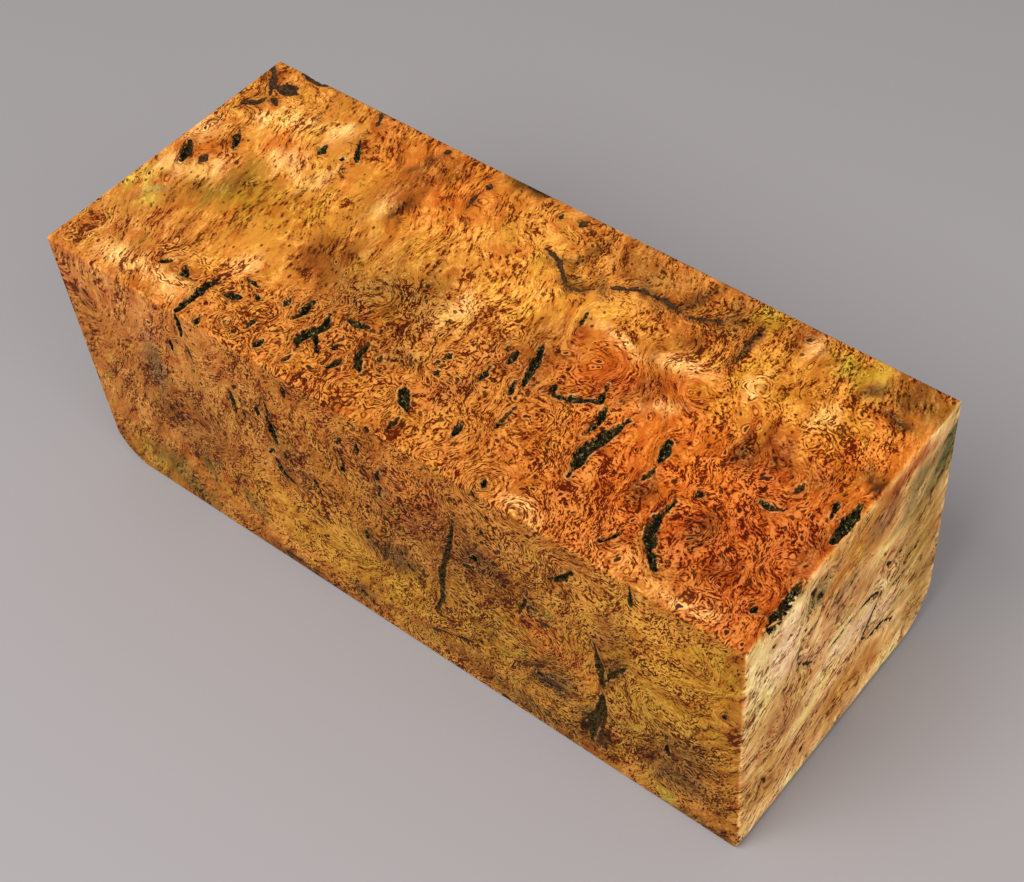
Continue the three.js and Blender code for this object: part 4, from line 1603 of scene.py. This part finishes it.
    def _strands(self, bench: Bench, tone: bpy.types.NodeSocket, place: bpy.types.NodeSocket,
                 sheet: bpy.types.NodeSocket) -> bpy.types.NodeSocket:
        """The wood's colour with its fibres, darker and redder or paler by tone, and its dark slits.

        Args:
            bench: the tree's bench.
            tone: how light the fibres are.
            place: the place, in millimetres.
            sheet: the sheet of fibre.

        Returns:
            The colour.
        """
        tint = bench.attribute("tint", "Color")
        rust = bench.grain(place, sheet, self.rust)
        gold = bench.grain(place, sheet, self.gold)
        tint = bench.blend(bench.ease(rust, 0.50, 0.36, 0.0, 0.7), tint, bench.times(tint, self.redder))
        tint = bench.blend(bench.ease(gold, 0.50, 0.64, 0.0, 0.8), tint, bench.times(tint, self.yellower))
        pale = bench.blend(0.10, bench.times(tint, self.pale), self.ivory)
        colour = bench.blend(bench.ease(tone, 0.49, 0.13), tint, bench.times(tint, self.dark))
        colour = bench.blend(bench.ease(tone, 0.50, 0.90), colour, pale)
        slits = bench.cells(place, 0.55, bench.both(sheet, 1.1))
        away = bench.grow(bench.attribute("pips"), -0.22, slits.outputs["Distance"])
        slit = bench.both(bench.ease(away, 0.24, 0.16), 0.85)
        return bench.blend(slit, colour, bench.times(tint, self.slit))

    def _pips(self, bench: Bench, tone: bpy.types.NodeSocket, place: bpy.types.NodeSocket,
              sheet: bpy.types.NodeSocket) -> tuple[bpy.types.NodeSocket, bpy.types.NodeSocket]:
        """Small buds ringed by fine lines.

        Args:
            bench: the tree's bench.
            tone: how light the fibres are.
            place: the place, in millimetres.
            sheet: the sheet of fibre.

        Returns:
            The tone with the rings, and where the buds' dark cores are.
        """
        wobble = bench.add("ShaderNodeTexNoise", noise_dimensions="3D")
        bench.feed(wobble.inputs["Vector"], bench.vector("SCALE", place, scale=1.0 / 1.3))
        wobble.inputs["Scale"].default_value = 1.0
        wobble.inputs["Detail"].default_value = 3.0
        moved = bench.vector("ADD", place, bench.vector("SCALE", wobble.outputs["Color"], scale=1.5))
        normal = tuple(grain_normal())
        own = bench.vector("DOT_PRODUCT", moved, normal)
        stretch = bench.math("SUBTRACT", bench.both(sheet, 1.75), own)
        moved = bench.vector("ADD", moved, bench.vector("SCALE", normal, scale=stretch))
        cells = bench.cells(moved, 1.0 / 2.3)
        chance = bench.add("ShaderNodeSeparateColor")
        bench.feed(chance.inputs[0], cells.outputs["Color"])
        present = bench.math("LESS_THAN", chance.outputs[0], bench.attribute("pips"))
        radius = bench.grow(chance.outputs[1], 0.14, 0.22)
        share = bench.math("DIVIDE", cells.outputs["Distance"], radius)
        reach = bench.both(present, bench.ease(share, 2.1, 1.1))
        lines = bench.grow(bench.math("SINE", bench.both(share, 6.5)), -0.5, 0.6)
        tone = bench.mix(bench.both(reach, 0.65), tone, lines)
        return tone, bench.both(present, bench.ease(share, 0.72, 0.5))

    def _eye_rings(self, bench: Bench, tone: bpy.types.NodeSocket,
                   place: bpy.types.NodeSocket) -> bpy.types.NodeSocket:
        """The broken rings that outline the eyes.

        Args:
            bench: the tree's bench.
            tone: how light the fibres are.
            place: the place, in millimetres.

        Returns:
            The tone with the rings.
        """
        rim = bench.sway(bench.noise(place, 1.8, detail=2.0), 2.6, bench.attribute("eye_rim"))
        near = bench.ease(bench.math("ABSOLUTE", rim), 1.4, 0.3)
        worn = bench.ease(bench.noise(place, 1.0), 0.40, 0.60)
        waves = bench.math("SINE", bench.grow(rim, 10.0, 1.57))
        lines = bench.grow(waves, 0.60, 0.50)
        return bench.mix(bench.both(bench.both(near, worn), 0.85), tone, lines)

    def _pockets(self, bench: Bench, colour: bpy.types.NodeSocket, place: bpy.types.NodeSocket,
                 tone: bpy.types.NodeSocket) -> tuple[bpy.types.NodeSocket, ...]:
        """The bark in the pockets with its painted glints, the painted shade round them, and the height and
        roughness of the whole surface.

        Args:
            bench: the tree's bench.
            colour: the wood's colour.
            place: the place, in millimetres.
            tone: how light the fibres are.

        Returns:
            The colour, the height for the bump, and the roughness.
        """
        ragged = bench.noise(place, 0.9, detail=3.0, roughness=0.6)
        edge = bench.sway(ragged, 1.1, bench.attribute("pocket_edge"))
        inside = bench.ease(edge, 0.07, -0.07)
        kind = bench.attribute("pocket_kind")
        worn = bench.both(bench.ease(bench.noise(place, 1.2), 0.46, 0.66), bench.ease(kind, 0.7, 0.4))
        rim = bench.both(bench.band(edge, 0.22, 0.2), worn)
        # Painted shade: the wood darkens towards each pocket's edge and into it.
        shade = bench.both(bench.ease(edge, 1.1, 0.3), 0.4)
        colour = bench.blend(shade, colour, bench.times(colour, self.shade))
        colour = bench.blend(bench.both(rim, 0.6), colour, self.rim)
        grit = bench.noise(place, 0.42, detail=3.0, roughness=0.7)
        crumbs = bench.noise(place, 1.3, detail=1.0)
        bark = bench.blend(bench.ease(grit, 0.42, 0.56), *self.bark)
        bark = bench.blend(bench.ease(crumbs, 0.48, 0.66), bark, self.crumb)
        # Painted glints: pale highlight specks set into the bark's colour.
        bark = bench.blend(bench.ease(grit, 0.57, 0.65), bark, self.glint)
        olive = bench.blend(bench.ease(grit, 0.36, 0.66), *self.olive)
        brown = bench.blend(bench.ease(grit, 0.35, 0.65), *self.brown)
        filling = bench.blend(bench.ease(kind, 0.2, 0.4), bark, olive)
        filling = bench.blend(bench.ease(kind, 0.65, 0.85), filling, brown)
        colour = bench.blend(inside, colour, filling)
        crust = bench.both(inside, bench.both(grit, 7.0))
        height = bench.math("ADD", bench.both(tone, 0.8), crust)
        rough = bench.grow(tone, -0.12, self.roughness + 0.06)
        return colour, height, bench.grow(inside, 0.2, rough)


@dataclass(frozen=True)
class Paper:
    """The plain matt sheet that the block stands on."""

    colour: Colour = (0.268, 0.250, 0.252)
    roughness: float = 0.85

    def build(self) -> bpy.types.Material:
        """The finish as a material."""
        material = bpy.data.materials.new("paper")
        material.use_nodes = True
        shader = material.node_tree.nodes["Principled BSDF"]
        shader.inputs["Base Color"].default_value = (*self.colour, 1.0)
        shader.inputs["Roughness"].default_value = self.roughness
        shader.inputs["Specular IOR Level"].default_value = 0.2
        return material


@dataclass(frozen=True)
class Lamp:
    """A soft box light. Metres, and watts."""

    name: str
    place: tuple[float, float, float]
    width: float
    power: float

    def hang(self, target: Vector) -> None:
        """Hangs the light, turned to a target.

        Args:
            target: where it shines, in metres.
        """
        data = bpy.data.lights.new(self.name, "AREA")
        data.shape = "SQUARE"
        data.size = self.width
        data.energy = self.power
        lamp = bpy.data.objects.new(self.name, data)
        lamp.location = self.place
        lamp.rotation_euler = (target - Vector(self.place)).to_track_quat("-Z", "Y").to_euler()
        bpy.context.scene.collection.objects.link(lamp)


@dataclass(frozen=True)
class Studio:
    """The sheet, the lights and the camera."""

    sheet_width: float = 1.8
    sky: float = 0.56
    eye: tuple[float, float, float] = (0.13209, -0.13154, 0.23799)
    aim: tuple[float, float, float] = (0.01859, -0.00175, 0.025)
    roll: float = 4.14
    lens: float = 64.81
    shift: tuple[float, float] = (-0.0684, 0.0488)
    lamps: tuple[Lamp, ...] = (
        Lamp("key", (-0.04, -0.33, 0.50), 0.40, 4.0),
        Lamp("side", (0.50, -0.12, 0.42), 0.40, 1.7),
    )

    def build(self) -> None:
        """Sets everything up."""
        self._lay_sheet()
        self._fill_room()
        for lamp in self.lamps:
            lamp.hang(Vector((0.0, 0.0, 0.02)))
        self._place_camera()
        bpy.context.scene.view_settings.view_transform = "Standard"

    def _lay_sheet(self) -> None:
        """Lays the sheet just under the block."""
        bpy.ops.object.select_all(action="DESELECT")
        bpy.ops.mesh.primitive_plane_add(size=self.sheet_width, location=(0.0, 0.0, 0.0))
        floor = bpy.context.object
        floor.name = "sheet"
        floor.data.materials.append(Paper().build())

    def _fill_room(self) -> None:
        """Gives the room an even grey light."""
        world = bpy.data.worlds.new("room")
        world.use_nodes = True
        background = world.node_tree.nodes["Background"]
        background.inputs["Color"].default_value = (1.0, 0.99, 0.97, 1.0)
        background.inputs["Strength"].default_value = self.sky
        bpy.context.scene.world = world

    def _place_camera(self) -> None:
        """Puts the camera at the front-right, looking down at the block."""
        data = bpy.data.cameras.new("camera")
        data.lens = self.lens
        data.sensor_width = 36.0
        data.shift_x, data.shift_y = self.shift
        data.clip_start = 0.01
        camera = bpy.data.objects.new("camera", data)
        look = Vector(self.aim) - Vector(self.eye)
        turn = look.to_track_quat("-Z", "Y").to_matrix() @ Matrix.Rotation(-math.radians(self.roll), 3, "Z")
        camera.matrix_world = Matrix.Translation(self.eye) @ turn.to_4x4()
        bpy.context.scene.collection.objects.link(camera)
        bpy.context.scene.camera = camera


def main() -> None:
    """Builds the block and its studio."""
    logging.basicConfig(level=logging.INFO)
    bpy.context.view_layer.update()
    piece = BurlBlock().build()
    piece.data.materials.clear()
    piece.data.materials.append(BurlWood().build())
    LOG.info("%s: %d faces", piece.name, len(piece.data.polygons))
    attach(piece, "root")
    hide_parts(NODE)
    Studio().build()


if __name__ == "__main__":
    main()
